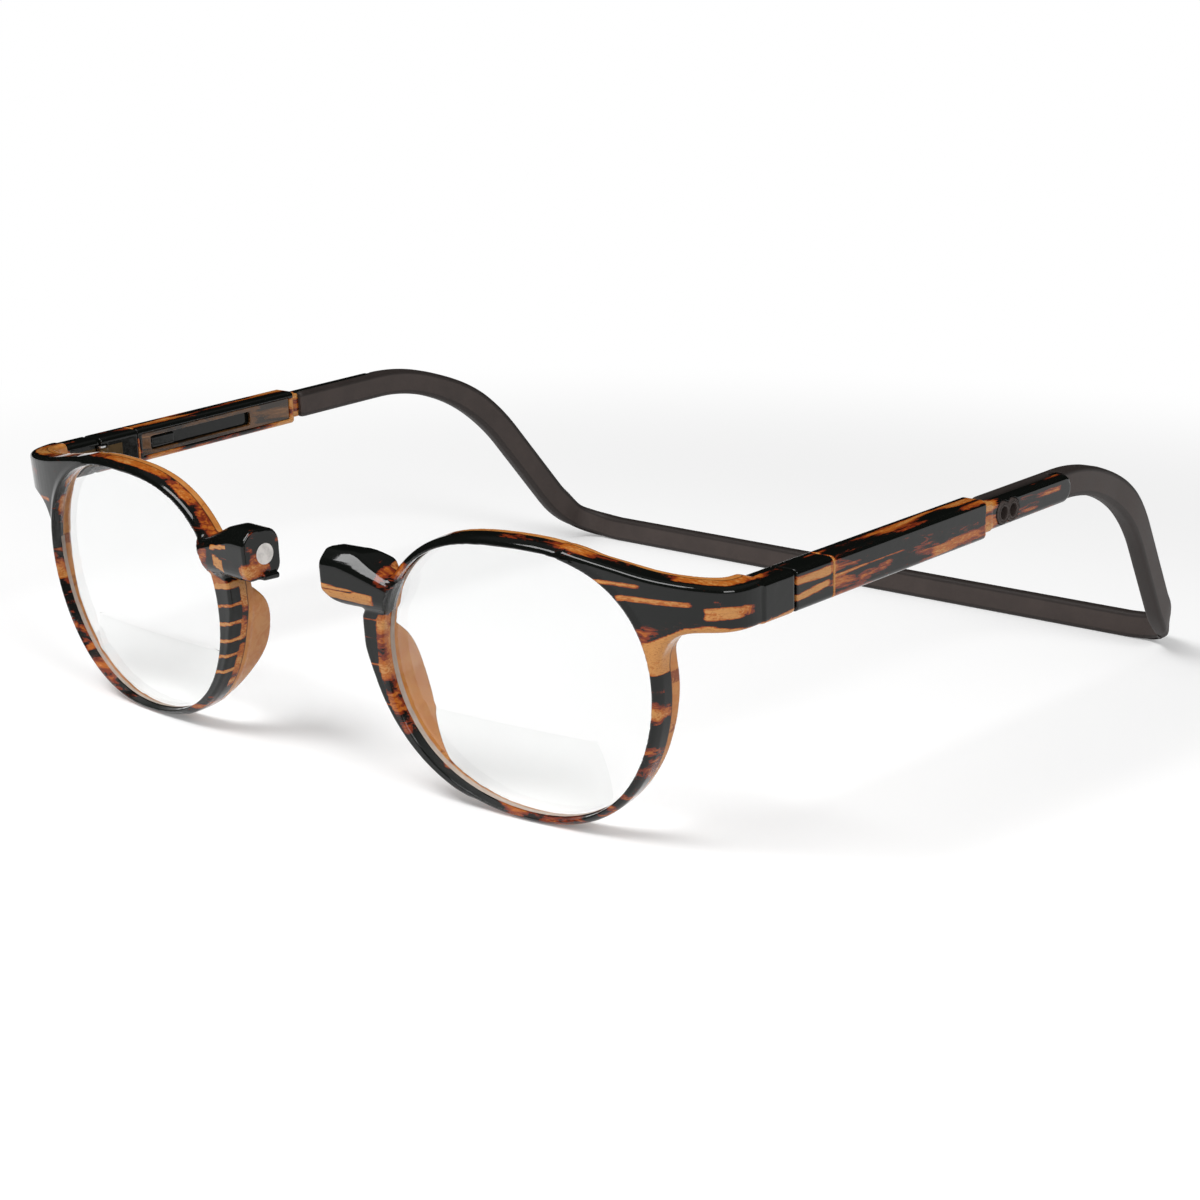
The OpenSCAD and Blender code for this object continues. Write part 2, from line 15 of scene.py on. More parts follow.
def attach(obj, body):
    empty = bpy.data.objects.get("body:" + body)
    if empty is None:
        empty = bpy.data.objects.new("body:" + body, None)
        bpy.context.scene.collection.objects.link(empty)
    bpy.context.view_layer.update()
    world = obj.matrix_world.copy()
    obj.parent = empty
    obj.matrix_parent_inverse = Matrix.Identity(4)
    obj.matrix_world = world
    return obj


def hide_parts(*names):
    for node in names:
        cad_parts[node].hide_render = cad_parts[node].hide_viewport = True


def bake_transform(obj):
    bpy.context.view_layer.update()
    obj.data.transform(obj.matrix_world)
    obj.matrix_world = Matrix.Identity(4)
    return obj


bl_info = {
    "name": "Front-opening bifocal glasses",
    "version": (1, 0, 0),
    "blender": (4, 5, 0),
    "location": "3D View > Sidebar > Glasses",
    "description": "Dresses the packed frame of a pair of front-opening bifocal glasses",
    "category": "Object",
}

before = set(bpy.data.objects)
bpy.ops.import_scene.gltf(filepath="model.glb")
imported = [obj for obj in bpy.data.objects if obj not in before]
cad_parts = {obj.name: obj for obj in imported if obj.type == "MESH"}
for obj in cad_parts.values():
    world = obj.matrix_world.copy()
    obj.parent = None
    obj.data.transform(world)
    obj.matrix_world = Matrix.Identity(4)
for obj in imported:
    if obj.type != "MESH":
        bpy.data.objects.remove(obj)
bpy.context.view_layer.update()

MM = 0.001
SIDES = {"left": 1, "right": -1}
# How far the object's origin lies behind the middles of the lenses
MID_Y = 71.2564

# Lens frame: place and axes; then the opening, the front's curve and the rim's depth
LENS_AT = np.array([39.9, 0.0, 20.6418])
WRAP, TILT = radians(5.7), radians(6.1)
LENS_AXES = np.array([
    [cos(WRAP), sin(WRAP), 0],
    [sin(TILT) * sin(WRAP), -sin(TILT) * cos(WRAP), cos(TILT)],
    [cos(TILT) * sin(WRAP), -cos(TILT) * cos(WRAP), -sin(TILT)]])
LENS_W, LENS_H, BASE_R = 44.7, 39.3, 263.0
RIM_D = 4.3

# Temple frame: place and axes; then the half width, height, middle height and places along it
TEMPLE_AT = np.array([70.8056, 6.3, 37.7558])
TOE, RISE = radians(2), radians(2.6)
TEMPLE_AXES = np.array([
    [cos(TOE), -sin(TOE), 0],
    [sin(TOE) * cos(RISE), cos(TOE) * cos(RISE), sin(RISE)],
    [-sin(TOE) * sin(RISE), -cos(TOE) * sin(RISE), cos(RISE)]])
HALF_W, TEMPLE_H, MID_H = 2.3, 5.9, -2.95
FOLD_S, ROOT_END, SLEEVE_END = 12.85, 21.0, 58.7
TAB_S, TAB_END = 58.85, 83.45

# Bridge: how far each side stands open at rest and the axis that it swings about, then the
# magnet, and the heights of the block's lower edge, top and front edge
REST_OPEN = radians(2.95)
FLEX_X, FLEX_Y = 55.0, 145.897
MAGNET_AT = np.array([7.61326, -0.341425, 31.4569])
BLOCK_LOW, BLOCK_TOP, EDGE_V = 6.449, 14.649, 12.949

# Neckband: start, height and inner face; angles and radii of its bends, then the straight
# slope's length and the reach of the rear stretch
STRIP_S, BAND_H, BAND_INNER = 60.9, 4.7, -2.2
DROP, FALL_R, LEVEL_R, CORNER_R = radians(49), 42.9, 23.3, 5.9
BEND_IN = radians(8.8)
SLOPE_L = 17.8536
CENTRE_X = 47.0


class GlassesSettings(bpy.types.PropertyGroup):
    """Sizes and colours of the dressed glasses"""

    front_cell: bpy.props.FloatProperty(
        name="Front mesh size", description="Edge length of the half fronts' mesh",
        default=0.00028, unit="LENGTH", min=0.0002, max=0.001)
    temple_cell: bpy.props.FloatProperty(
        name="Temple mesh size", description="Edge length of the temples' mesh",
        default=0.00024, unit="LENGTH", min=0.00015, max=0.001)
    edge_round: bpy.props.FloatProperty(
        name="Front edge rounding", description="Rounding of the rim's outer front edge",
        default=0.00105, unit="LENGTH", min=0.0004, max=0.0012)
    temple_round: bpy.props.FloatProperty(
        name="Temple rounding", description="Rounding of the temple's long edges",
        default=0.0008, unit="LENGTH", min=0.0003, max=0.0014)
    layer_depth: bpy.props.FloatProperty(
        name="Front layer thickness", description="Thickness of the patterned layer over the honey one",
        default=0.0029, unit="LENGTH", min=0.001, max=0.004)
    dark: bpy.props.FloatVectorProperty(
        name="Dark brown", description="Darkest colour of the tortoise pattern", subtype="COLOR",
        default=(0.0045, 0.0052, 0.0045), size=3, min=0, max=1)
    red: bpy.props.FloatVectorProperty(
        name="Red brown", description="Colour at the edges of the dark streaks", subtype="COLOR",
        default=(0.17, 0.024, 0.008), size=3, min=0, max=1)
    amber: bpy.props.FloatVectorProperty(
        name="Amber", description="Colour of the pattern's warm streaks", subtype="COLOR",
        default=(0.40, 0.105, 0.013), size=3, min=0, max=1)
    caramel: bpy.props.FloatVectorProperty(
        name="Caramel", description="Palest colour of the tortoise pattern", subtype="COLOR",
        default=(0.52, 0.235, 0.065), size=3, min=0, max=1)
    honey: bpy.props.FloatVectorProperty(
        name="Honey", description="Colour of the rear layer", subtype="COLOR",
        default=(0.50, 0.215, 0.058), size=3, min=0, max=1)
    rubber: bpy.props.FloatVectorProperty(
        name="Rubber", description="Colour of the neckband and eyelets", subtype="COLOR",
        default=(0.058, 0.043, 0.038), size=3, min=0, max=1)
    key_power: bpy.props.FloatProperty(
        name="Lamp power", description="Power of the lamps, before each one's own factor", default=0.84,
        unit="POWER", min=0)
    sky_level: bpy.props.FloatProperty(
        name="Room light", description="Strength of the even light from all round", default=0.36, min=0)


# Shape helpers

def ramp(x, low, high):
    """Smooth rise from 0 at low to 1 at high"""
    t = np.clip((x - low) / (high - low), 0, 1)
    return t * t * (3 - 2 * t)


def bump(x, centre, half, soft):
    """1 within half of the centre, falling softly to 0"""
    return 1 - ramp(np.abs(x - centre), half, half + soft)


def both(a, b, r):
    """Where both solids are, with an edge rounded to r"""
    return np.minimum(np.maximum(a, b), -r) + np.hypot(np.maximum(a + r, 0), np.maximum(b + r, 0))


def either(a, b, k):
    """Either solid, with a soft fillet of size k"""
    t = np.clip(0.5 + 0.5 * (b - a) / k, 0, 1)
    return b + (a - b) * t - k * t * (1 - t)


def rounded_box(x, y, z, low, high, r):
    """Distance to a box with edges rounded to r"""
    q = [np.abs(c - (lo + hi) / 2) - (hi - lo) / 2 + r for c, lo, hi in zip((x, y, z), low, high)]
    out = np.sqrt(sum(np.maximum(c, 0) ** 2 for c in q))
    return out + np.minimum(np.maximum(np.maximum(q[0], q[1]), q[2]), 0) - r


def round_corners(points, r, steps=3):
    """Closed outline with each corner cut back by r and curved"""
    points = [np.array(p, float) for p in points]
    result = []
    for i, p in enumerate(points):
        a, b = points[i - 1] - p, points[(i + 1) % len(points)] - p
        la, lb = np.linalg.norm(a), np.linalg.norm(b)
        a, b = a / la * min(r, la / 2.05), b / lb * min(r, lb / 2.05)
        for k in range(steps + 1):
            t = k / steps
            result.append(p + a * (1 - t) ** 2 + b * t ** 2)
    return result


def line_distance(x, y, points):
    """Distance to an open line of points"""
    best = np.inf
    for p, q in zip(points, points[1:]):
        ex, ey, wx, wy = q[0] - p[0], q[1] - p[1], x - p[0], y - p[1]
        t = np.clip((wx * ex + wy * ey) / max(ex * ex + ey * ey, 1e-12), 0, 1)
        best = np.minimum(best, (wx - ex * t) ** 2 + (wy - ey * t) ** 2)
    return np.sqrt(best)


def polygon_distance(x, y, points):
    """Distance to a closed outline, negative inside it"""
    points = list(points)
    sign = np.ones(x.shape)
    for p, q in zip(points, points[-1:] + points[:-1]):
        above, below = y >= p[1], y < q[1]
        left = (q[0] - p[0]) * (y - p[1]) > (q[1] - p[1]) * (x - p[0])
        sign = np.where((above & below & left) | ~(above | below | left), -sign, sign)
    return sign * line_distance(x, y, points + points[:1])


def surface_net(field, low, high, cell):
    """Quads round the zero surface of a distance field, with vertices and normals set on it"""
    low = np.array(low, float)
    cell = cell
    count = np.ceil((np.array(high) - low) / cell).astype(int) + 1

    # The field is read on every fourth point first, and on all points only near the surface
    step = 4
    axes = [(low[i] + cell * np.arange(count[i]))[::step] for i in range(3)]
    grid = np.stack(np.meshgrid(*axes, indexing="ij"), -1).reshape(-1, 3)
    value = field(grid).reshape([len(a) for a in axes])
    for i in range(3):
        nearest = np.minimum((np.arange(count[i]) + step // 2) // step, value.shape[i] - 1)
        value = np.take(value, nearest, axis=i)
    near = np.abs(value) < cell * step * 1.35
    value[near] = field(low + cell * np.argwhere(near))
    inside = value < 0

    # One vertex in each cell that the surface crosses, at the mean of its crossings
    corners = [(i, j, k) for i in (0, 1) for j in (0, 1) for k in (0, 1)]
    last = count - 1
    filled = sum(inside[i:i + last[0], j:j + last[1], k:k + last[2]].astype(np.int8) for i, j, k in corners)
    cells = np.argwhere((filled > 0) & (filled < 8))
    number = np.full(filled.shape, -1)
    number[tuple(cells.T)] = np.arange(len(cells))
    at = {c: value[tuple((cells + c).T)] for c in corners}
    unit = np.eye(3, dtype=int)
    total, hits = np.zeros((len(cells), 3)), np.zeros(len(cells))
    for a in corners:
        for axis in (i for i in range(3) if not a[i]):
            b = tuple(a + unit[axis])
            cross = (at[a] < 0) != (at[b] < 0)
            t = at[a][cross] / (at[a][cross] - at[b][cross])
            total[cross] += a + t[:, None] * unit[axis]
            hits += cross
    points = low + cell * (cells + total / hits[:, None])

    # One quad across each grid edge that the surface crosses
    quads = []
    for axis in range(3):
        j, k = unit[(axis + 1) % 3], unit[(axis + 2) % 3]
        one = [slice(1, n - 1) for n in count]
        two = list(one)
        one[axis], two[axis] = slice(0, last[axis]), slice(1, count[axis])
        fa, fb = inside[tuple(one)], inside[tuple(two)]
        for way, mask in ((1, fa & ~fb), (-1, ~fa & fb)):
            ring = [number[tuple((np.argwhere(mask) + shift).T)] for shift in (0 * j, j, j + k, k)]
            quads.append(np.stack(ring[::way], 1))
    quads = np.concatenate(quads)

    def slope(p, eps):
        return np.stack([(field(p + d) - field(p - d)) / (2 * eps) for d in np.eye(3) * eps], 1)

    # The vertices slide onto the surface, each by less than half a cell at a time
    for _ in range(3):
        g = slope(points, 0.02)
        move = -field(points)[:, None] * g / np.maximum((g * g).sum(1), 0.05)[:, None]
        length = np.linalg.norm(move, axis=1, keepdims=True)
        points += move * np.minimum(1, 0.45 * cell / np.maximum(length, 1e-9))
    normals = slope(points, 0.05)
    normals /= np.maximum(np.linalg.norm(normals, axis=1, keepdims=True), 1e-9)
    return points, quads, normals


# Frames and objects

LENS_FRAME = (LENS_AT, LENS_AXES)
TEMPLE_FRAME = (TEMPLE_AT, TEMPLE_AXES)
WHOLE_FRAME = (np.zeros(3), np.eye(3))


def to_world(points, place, side):
    """Metres in the shared frame, from millimetres in a local frame of the left side"""
    at, axes = place
    world = at + points @ axes
    world[:, 1] -= MID_Y
    world[:, 0] *= side
    return world * MM


def lens_to_temple(p):
    return (LENS_AT - TEMPLE_AT + p @ LENS_AXES) @ TEMPLE_AXES.T


def make_object(name, vertices, faces, body, side, normals=None, masks=None):
    """Smooth mesh that rides on a body, with masks as values on its points"""
    mesh = bpy.data.meshes.new(name)
    mesh.from_pydata(vertices.tolist(), [], [tuple(f)[::side] for f in faces])
    for key, values in (masks or {}).items():
        mesh.attributes.new(key, "FLOAT", "POINT").data.foreach_set("value", np.asarray(values, np.float32))
    mesh.polygons.foreach_set("use_smooth", [True] * len(mesh.polygons))
    mesh.update()
    if normals is not None:
        mesh.normals_split_custom_set_from_vertices(normals.tolist())
    obj = bpy.data.objects.new(name, mesh)
    bpy.context.scene.collection.objects.link(obj)
    if body:
        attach(obj, body)
    return obj


def dress(obj, node, slot, *materials):
    """Gives a piece its materials and hides the node that it stands in for"""
    for material in materials:
        obj.data.materials.append(material)
    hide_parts(node)


def build(name, place, body, rows):
    """Pieces of one side, each meshed from its distance field inside a box of its local frame"""
    side = SIDES[name]
    for piece, node, slot, material, field, cell, box, masks in rows:
        points, quads, normals = surface_net(field, *box, cell)
        turned = normals @ place[1]
        turned[:, 0] *= side
        values = {key: mask(points) for key, mask in masks.items()}
        obj = make_object(f"{piece}_{name}", to_world(points, place, side), quads, f"{body}_{name}", side,
                          turned, values)
        dress(obj, f"{node}_{name}", slot, material)


def blank(p):
    return np.zeros(len(p))


# Half fronts

RIM_WALL = 1.15
NOSE_A = radians(188)
# Angles on the nose side, and how much fuller the rim is at each
SHOULDER = (np.radians([150, 158, 163, 168, 173.3, 178, 184, 188.2, 193, 200, 208]),
            [0, 0.8, 1.6, 2.2, 1.75, 1.5, 0.85, 0.5, 0.3, 0.1, 0])
# Heights on the temple side, and how much deeper the rim is at each
RIM_GROW = ([-16, -6, -2, 2, 12, 14], [0, 0.05, 0.35, 0.6, 0.7, 0.3])
NOSE_LEAN, CHEEK_LEAN = tan(radians(9)), tan(radians(8.5))
PAD_OUTLINE = round_corners([
    [9, -1], [5.7, -2.6], [4.8, -4.3], [3.4, -6.0], [1.3, -8.05], [-1.5, -9.3], [-5, -9.7], [-8.6, -9.3],
    [-12, -7.5], [-16.5, -4.9], [-18.5, -4.3], [-20, -1]], 1.6)
BLOCK_SECTION = round_corners([
    [BLOCK_LOW, -1.4], [BLOCK_LOW + 0.5, -0.6], [BLOCK_LOW + 1.6, 0], [EDGE_V, 0], [BLOCK_TOP, -2.03],
    [BLOCK_TOP - 0.7, -6], [BLOCK_TOP - 2.2, -7], [BLOCK_LOW + 1.3, -6.8], [BLOCK_LOW, -5.4]], 0.8)
BLOCK_FACE = [[-17, BLOCK_LOW], [-17, 10.4], [-21, 11.7], [-24.4, 13.1], [-27.2, BLOCK_TOP - 0.1],
              [-42, BLOCK_TOP + 0.9]]
BLOCK_FOOT = {1: [[-42, 6], [-32.6, 2.6], [-30.4, 0.5], [-28.2, 0]],
              -1: [[-42, 0.6], [-33.4, 0.6], [-30.6, 0]]}
BLOCK_FRONT = {side: round_corners([[u, BLOCK_LOW + v] for u, v in foot] + BLOCK_FACE, 1.2)
               for side, foot in BLOCK_FOOT.items()}
BLOCK_FALL = radians(17)
SWEEP_OUTER = [[7.3, -0.95], [15.3, -1.15], [19.3, -1.35], [22.8, -1.7], [26.7, -2.4], [29.7, -3.6],
               [32.1, -5.1], [33.45, -7], [34.15, -9.4], [34.4, -11.4]]
SWEEP_INNER = [[29.95, -11.4], [29.6, -9.4], [28.7, -8.1], [26.7, -6.9], [23.3, -5.9], [18.3, -5.4],
               [15.3, -5.1], [7.3, -5]]
SWEEP = round_corners(SWEEP_OUTER + SWEEP_INNER, 4)
OUTER_LINE = [[-60, -1], [-20, -1]] + SWEEP_OUTER + [[35.4, -19]]
END_CORNER = (23.3056, 17.249)
END_FRONT = round_corners(np.array([
    [-16, 3], [-10.3, 1.95], [-6, 1.3], [-3, 0.75], [0, 0.35], [5, -0.1], [9, -0.6], [14, -0.85],
    [14, -6.75], [4, -6.6], [1.6, -7.6], [0.2, -9.8], [-0.5, -13], [-9, -13]]) + END_CORNER, 1.8)

# Meeting face of the closed bridge, with the notch of the left block and the lip of the right one
FACE_GAP = 0.17
NOTCH = ((-2, -1.12, -9), (0.88, 2.42, -2.68))
LIP = ((-0.63, -0.88, -3.88), (1.2, 2.18, -2.92))


def lens_radius(a):
    """Reach of the lens opening from its middle; 0.983 makes up for square_off on both axes"""
    skew = 0.005 * np.sin(2 * a) - 0.0088 * np.cos(3 * a) + 0.0208 * np.sin(3 * a)
    square_off = 0.0034 * np.sin(4 * a) - 0.0173 * np.cos(4 * a)
    mean = (LENS_W + LENS_H) / 4 / 0.983
    return mean * (1 + skew + square_off) + (LENS_W - LENS_H) / 4 * np.cos(2 * a)


def rim_radius(a):
    """Reach of the rim's outer edge, which is fuller on the nose side and slimmer below"""
    bulge = np.maximum(0, np.cos(a - NOSE_A)) ** 8 * 0.85
    slim = np.maximum(0, -np.sin(a)) ** 6 * 0.15
    return lens_radius(a) + RIM_WALL + bulge - slim + np.interp(a % (2 * pi), *SHOULDER)


def closed_place(world):
    """Across and back in the frame of the closed front, from design coordinates"""
    x, y = world[:, 0] - FLEX_X, world[:, 1] - FLEX_Y
    c, s = cos(REST_OPEN), sin(REST_OPEN)
    return FLEX_X + x * c + y * s, FLEX_Y - x * s + y * c


MAGNET_BACK = closed_place(MAGNET_AT[None])[1][0]


def bridge_face(side, body, world):
    """Cuts the flat meeting face, then the notch on the left side or the lip on the right"""
    across, back = closed_place(world)
    up, back = world[:, 2] - MAGNET_AT[2], back - MAGNET_BACK
    body = both(body, FACE_GAP - across, 0.4)
    if side > 0:
        return both(body, -rounded_box(across, back, up, *NOTCH, 0.25), 0.15)
    return either(body, rounded_box(across, back, up, *LIP, 0.32), 0.25)


def hinge_relief(body, n, s, h):
    """Cuts the round hollow that clears the hinge's knuckles at the fold"""
    barrel = np.maximum(np.hypot(n + HALF_W, s - FOLD_S) - 1.28, np.abs(h - MID_H) - 1.85)
    return both(body, -barrel, 0.08)


def pad(body, u, v, w, wall):
    """Adds the nose pad behind the rim"""
    shape = both(wall, polygon_distance(v, w, PAD_OUTLINE), 0.5)
    return either(body, np.maximum(shape, u + 8), 0.2)


def block(side, body, u, v, w, opening):
    """Adds the bridge block with its sloping facets"""
    shape = both(
        polygon_distance(v, w, BLOCK_SECTION), polygon_distance(u, v, BLOCK_FRONT[side]), 0.5)
    facet = (u + 29.16) * sin(BLOCK_FALL) + (v - EDGE_V) * cos(BLOCK_FALL) + w
    shape = both(shape, facet / sqrt(2), 0.4)
    shape = both(shape, 0.632 * u - 0.776 * w + 9.55, 0.6)
    return either(body, np.maximum(shape, opening), 0.9)


def endpiece(arm_round, body, u, v, w, opening, n, s, h):
    """Adds the endpiece, which sweeps back to the hinge"""
    end = both(polygon_distance(u, w, SWEEP), polygon_distance(u, v, END_FRONT), 0.75)
    end = both(end, opening, 0.28)
    arm = rounded_box(
        n, s, h, (-HALF_W + 0.02, 5.5, -TEMPLE_H), (HALF_W, FOLD_S - 0.05, 0), arm_round)
    return hinge_relief(either(body, either(end, arm, 0.25), 0.7), n, s, h)


def front_field(edge, arm_round, side, p):
    """Distance field of one half front, in the lens frame"""
    u, v, w = p.T
    n, s, h = lens_to_temple(p).T
    world = LENS_AT + p @ LENS_AXES
    proud = w + (u * u + v * v) / (2 * BASE_R)
    lean = NOSE_LEAN * np.maximum(0, -w - 4.6) * ramp(-u, 4, 12)
    lean += CHEEK_LEAN * np.maximum(0, -w - 2) * ramp(u, 5, 15) * ramp(v, -16, -6)
    a, r = np.arctan2(v, u - lean), np.hypot(u - lean, v)
    opening = lens_radius(np.arctan2(v, u)) - np.hypot(u, v)
    outer, inner = r - rim_radius(a), np.where(u > 0, opening, lens_radius(a) - r)
    depth = RIM_D + np.interp(v, *RIM_GROW) * ramp(u, 8, 16)
    bevel = (outer + proud) * sqrt(0.5) + 0.6 * edge
    body = both(both(outer, proud, 0.3), bevel, 0.45 * edge)
    body = both(both(body, -proud - depth, 0.55), inner, 0.28)
    for near, join, values in (
            (u < -6, pad, (u, v, w, both(outer, inner, 0.25))),
            ((u < -14) & (v > BLOCK_LOW - 4), partial(block, side), (u, v, w, opening)),
            ((u > 4) & (v > 1), partial(endpiece, arm_round), (u, v, w, opening, n, s, h)),
            (u < -20, partial(bridge_face, side), (world,))):
        body[near] = join(body[near], *(value[near] for value in values))
    return np.maximum(body, 0.01 - world[:, 2])


# Paint of the half fronts. A push above 0 turns the pattern to amber, and one below 0 turns it
# dark. Where two values differ, 1 is the left front and -1 the right one.

# Stripes on the brow and endpiece: height, half width, start and end
STRIPES = {1: ((16.6, 0.12, 12.5, 21.5), (14.7, 0.26, 17, 28.8), (13.3, 0.7, 29, 34.5)),
           -1: ((14.7, 0.5, 24.5, 29.5), (12.5, 0.5, 22.5, 27.5), (10.7, 0.15, 22, 27))}
STRIPE_PUSH, TOP_PUSH, BELOW_PUSH = {1: 0.48, -1: 0.29}, {1: 0.0, -1: 0.1}, {1: 0.4, -1: -0.03}
# Lower edge of the endpiece's dark field: places across and heights
DARK_EDGE = ([20, 22, 27, 30, 34], [8.6, 9.1, 11.5, 11.9, 11.0])
# Patches down the temple side of the rim: height, half width and push
CHEEK_PATCHES = ((3.6, 0.75, -0.3), (1.2, 1.1, 0.05), (-1.4, 1.1, 0.13), (-3.6, 0.9, -0.14),
                 (-6.6, 1.6, 0.08))
# Heights of the amber lines across the nose side of the rim
NOSE_LINES = {1: (5.2, 2.4, -1.6, -4.8, -7.4), -1: (4.3, 1.3, -1.6, -4.4, -7.0, -9.8)}


def inner_arm(p):
    """Mask of the endpiece's inner face, beside the hinge"""
    n, s, h = lens_to_temple(p).T
    return ramp(-n, 0.2, 0.9) * ramp(s, 5, 7) * ramp(h, -7, -6.5)


def block_mask(u, v):
    return ramp(-u, 22.5, 23.5) * ramp(v, 5.6, 6.2)


def front_depth(p):
    """How far a point lies behind the outer face of a half front, in millimetres"""
    u, v, w = p.T
    near_rim = -(w + (u * u + v * v) / (2 * BASE_R))
    swept = line_distance(u, w, OUTER_LINE)
    t = ramp(u, 19, 25) * ramp(v, 4, 9)
    return (near_rim * (1 - t) + swept * t) * (1 - 0.65 * block_mask(u, v)) * (1 - inner_arm(p))


def left_nose_paint(u, v, out, depth, nose):
    """Fine lines round the left rim's nose side, and the split stripe on its block"""
    outside = ramp(out, 1.0, 1.3)
    value = nose * ramp(v, -14, -10) * (0.15 * (1 - outside) - 0.2 * outside)
    value += 0.26 * nose * outside * sum(bump(v, at, 0.08, 0.2) for at in NOSE_LINES[1])
    value -= 0.25 * block_mask(u, v) + 0.1 * bump(u, -21.3, 1.8, 1.2) * ramp(v, 7, 9)
    stripe = bump(v + 0.06 * (u + 28), 8.6, 0.75, 0.2) * ramp(1.4 - depth, 0, 0.3)
    split = 0.66 * bump(v, 9.0, 0.05, 0.16) * ramp(-u, 26, 27) + 0.6 * bump(v, 8.35, 0.03, 0.14)
    return value + block_mask(u, v) * stripe * (0.66 - split)


def right_nose_paint(u, v, out, depth, nose):
    """Broad rungs down the right rim's nose side, and the patches on its block and endpiece"""
    wall = ramp(depth, 1.5, 1.8)
    rungs = 0.62 * sum(bump(v - 0.2 * out, at, 0.2, 0.26) for at in NOSE_LINES[-1]) - 0.3
    value = nose * ramp(v, -15, -12) * (0.2 * wall + rungs * (1 - wall))
    value += 0.3 * nose * ramp(v, 4.2, 4.6)
    patch = bump(v + 0.15 * u, 7.6, 0.28, 0.15) * bump(u, -26.0, 1.9, 0.3)
    patch += bump(v - 0.35 * (u + 26), 8.7, 0.75, 0.2) * bump(u, -25.6, 0.95, 0.25)
    value += block_mask(u, v) * (0.6 * patch - 0.2)
    value += 0.24 * ramp(-u, 30.6, 31) * bump(v, 8.2, 0.9, 0.4) * (1 - ramp(depth, 0.8, 1.1))
    value += 0.15 * ramp(-u, 31.2, 31.6) * ramp(v, 7, 8)
    return value - 0.06 * ramp(u, 21, 24) + 0.4 * bump(u, 24.4, 0.4, 0.4) * bump(v, 8.0, 0.9, 0.4)


def front_shade(side, p):
    """Painted push of a half front's pattern"""
    u, v, w = p.T
    out = np.hypot(u, v) - lens_radius(np.arctan2(v, u))
    depth = front_depth(p)
    topside = ramp(depth, 0.9, 1.3) * ramp(v, 2, 8) * ramp(u, -24, -20)
    brow = ramp(v, 8, 13) * ramp(u, -21, -12) * (1 - topside)
    value = -0.03 - 0.17 * brow - 0.16 * inner_arm(p)
    value += topside * (TOP_PUSH[side] + 0.13 * bump(u, 28.5, 3, 2))
    for at, half, low, high in STRIPES[side]:
        span = ramp(u, low, low + 0.8) * (1 - ramp(u, high - 1.5, high))
        value += STRIPE_PUSH[side] * bump(v, at, half, 0.28) * span * (1 - topside)
    below = ramp(np.interp(u, *DARK_EDGE) - v, 0, 0.35) * ramp(v, 4.2, 4.5)
    value += BELOW_PUSH[side] * below * ramp(u, 20.0, 20.6)
    cheek = ramp(u, 18, 20) * ramp(5 - v, 0, 0.4)
    for at, half, push in CHEEK_PATCHES:
        value += push * bump(v, at, half, 0.3) * cheek
    value += 0.16 * bump(v + 0.9 * (u - 16), -13, 0.5, 0.4) * ramp(u, 10, 13)
    value -= 0.05 * ramp(-v, 14, 17)
    value += 0.12 * bump(out, 1.0, 0.25, 0.3) * ramp(-v, 15, 17) * bump(u, 0, 7, 3)
    nose = ramp(-u, 17, 20) * ramp(6.4 - v, 0, 0.4)
    nose_paint = left_nose_paint if side > 0 else right_nose_paint
    return value + nose_paint(u, v, out, depth, nose)


class GLASSES_OT_half_fronts(bpy.types.Operator):
    """Half fronts: rim, nose pad, bridge block and endpiece in one moulding each"""
    bl_idname = "glasses.half_fronts"
    bl_label = "Half fronts"

    def execute(self, context):
        settings = context.scene.glasses
        material = acetate_material(settings, "front acetate", (0.16, 0.35, 0.62), 0.06)
        edge, arm_round = settings.edge_round / MM, settings.temple_round / MM
        box = ((-34.5, -23, -19.5), (37, 22.5, 0.9))
        for name, side in SIDES.items():
            masks = {"layer_depth": front_depth, "shade": partial(front_shade, side)}
            build(name, LENS_FRAME, "half_front", [(
                "front_shell", "front", "tortoise_acetate", material,
                partial(front_field, edge, arm_round, side), settings.front_cell / MM, box, masks)])
        return {"FINISHED"}


# Lenses

# Reading segment: its middle, radius, flat top and rise, and the width of the slope round it
SEG_U, SEG_V, SEG_R, SEG_TOP, SEG_T = -3.3, -14.8, 17.7, -7.0, 0.04
SEG_STEP = 0.25
# How far the lens lies behind the rim's face, and its thickness
LENS_SET, LENS_T = 1.7, 2.0


def segment_line(grow):
    """Outline of the reading segment, grown and kept inside the lens"""
    half = acos((SEG_TOP - SEG_V) / (SEG_R + grow))
    kept = []
    for a in np.linspace(pi / 2 + half, pi * 2.5 - half, 150):
        x = SEG_U + (SEG_R + grow) * cos(a)
        y = min(SEG_V + (SEG_R + grow) * sin(a), SEG_TOP + grow)
        k = min(1, (lens_radius(atan2(y, x)) - 0.5 + grow) / hypot(x, y))
        kept.append((x * k, y * k))
    start, end = kept[-1][0], kept[0][0]
    return kept + [(start + (end - start) * t, SEG_TOP + grow) for t in np.linspace(0, 1, 26)[1:-1]]


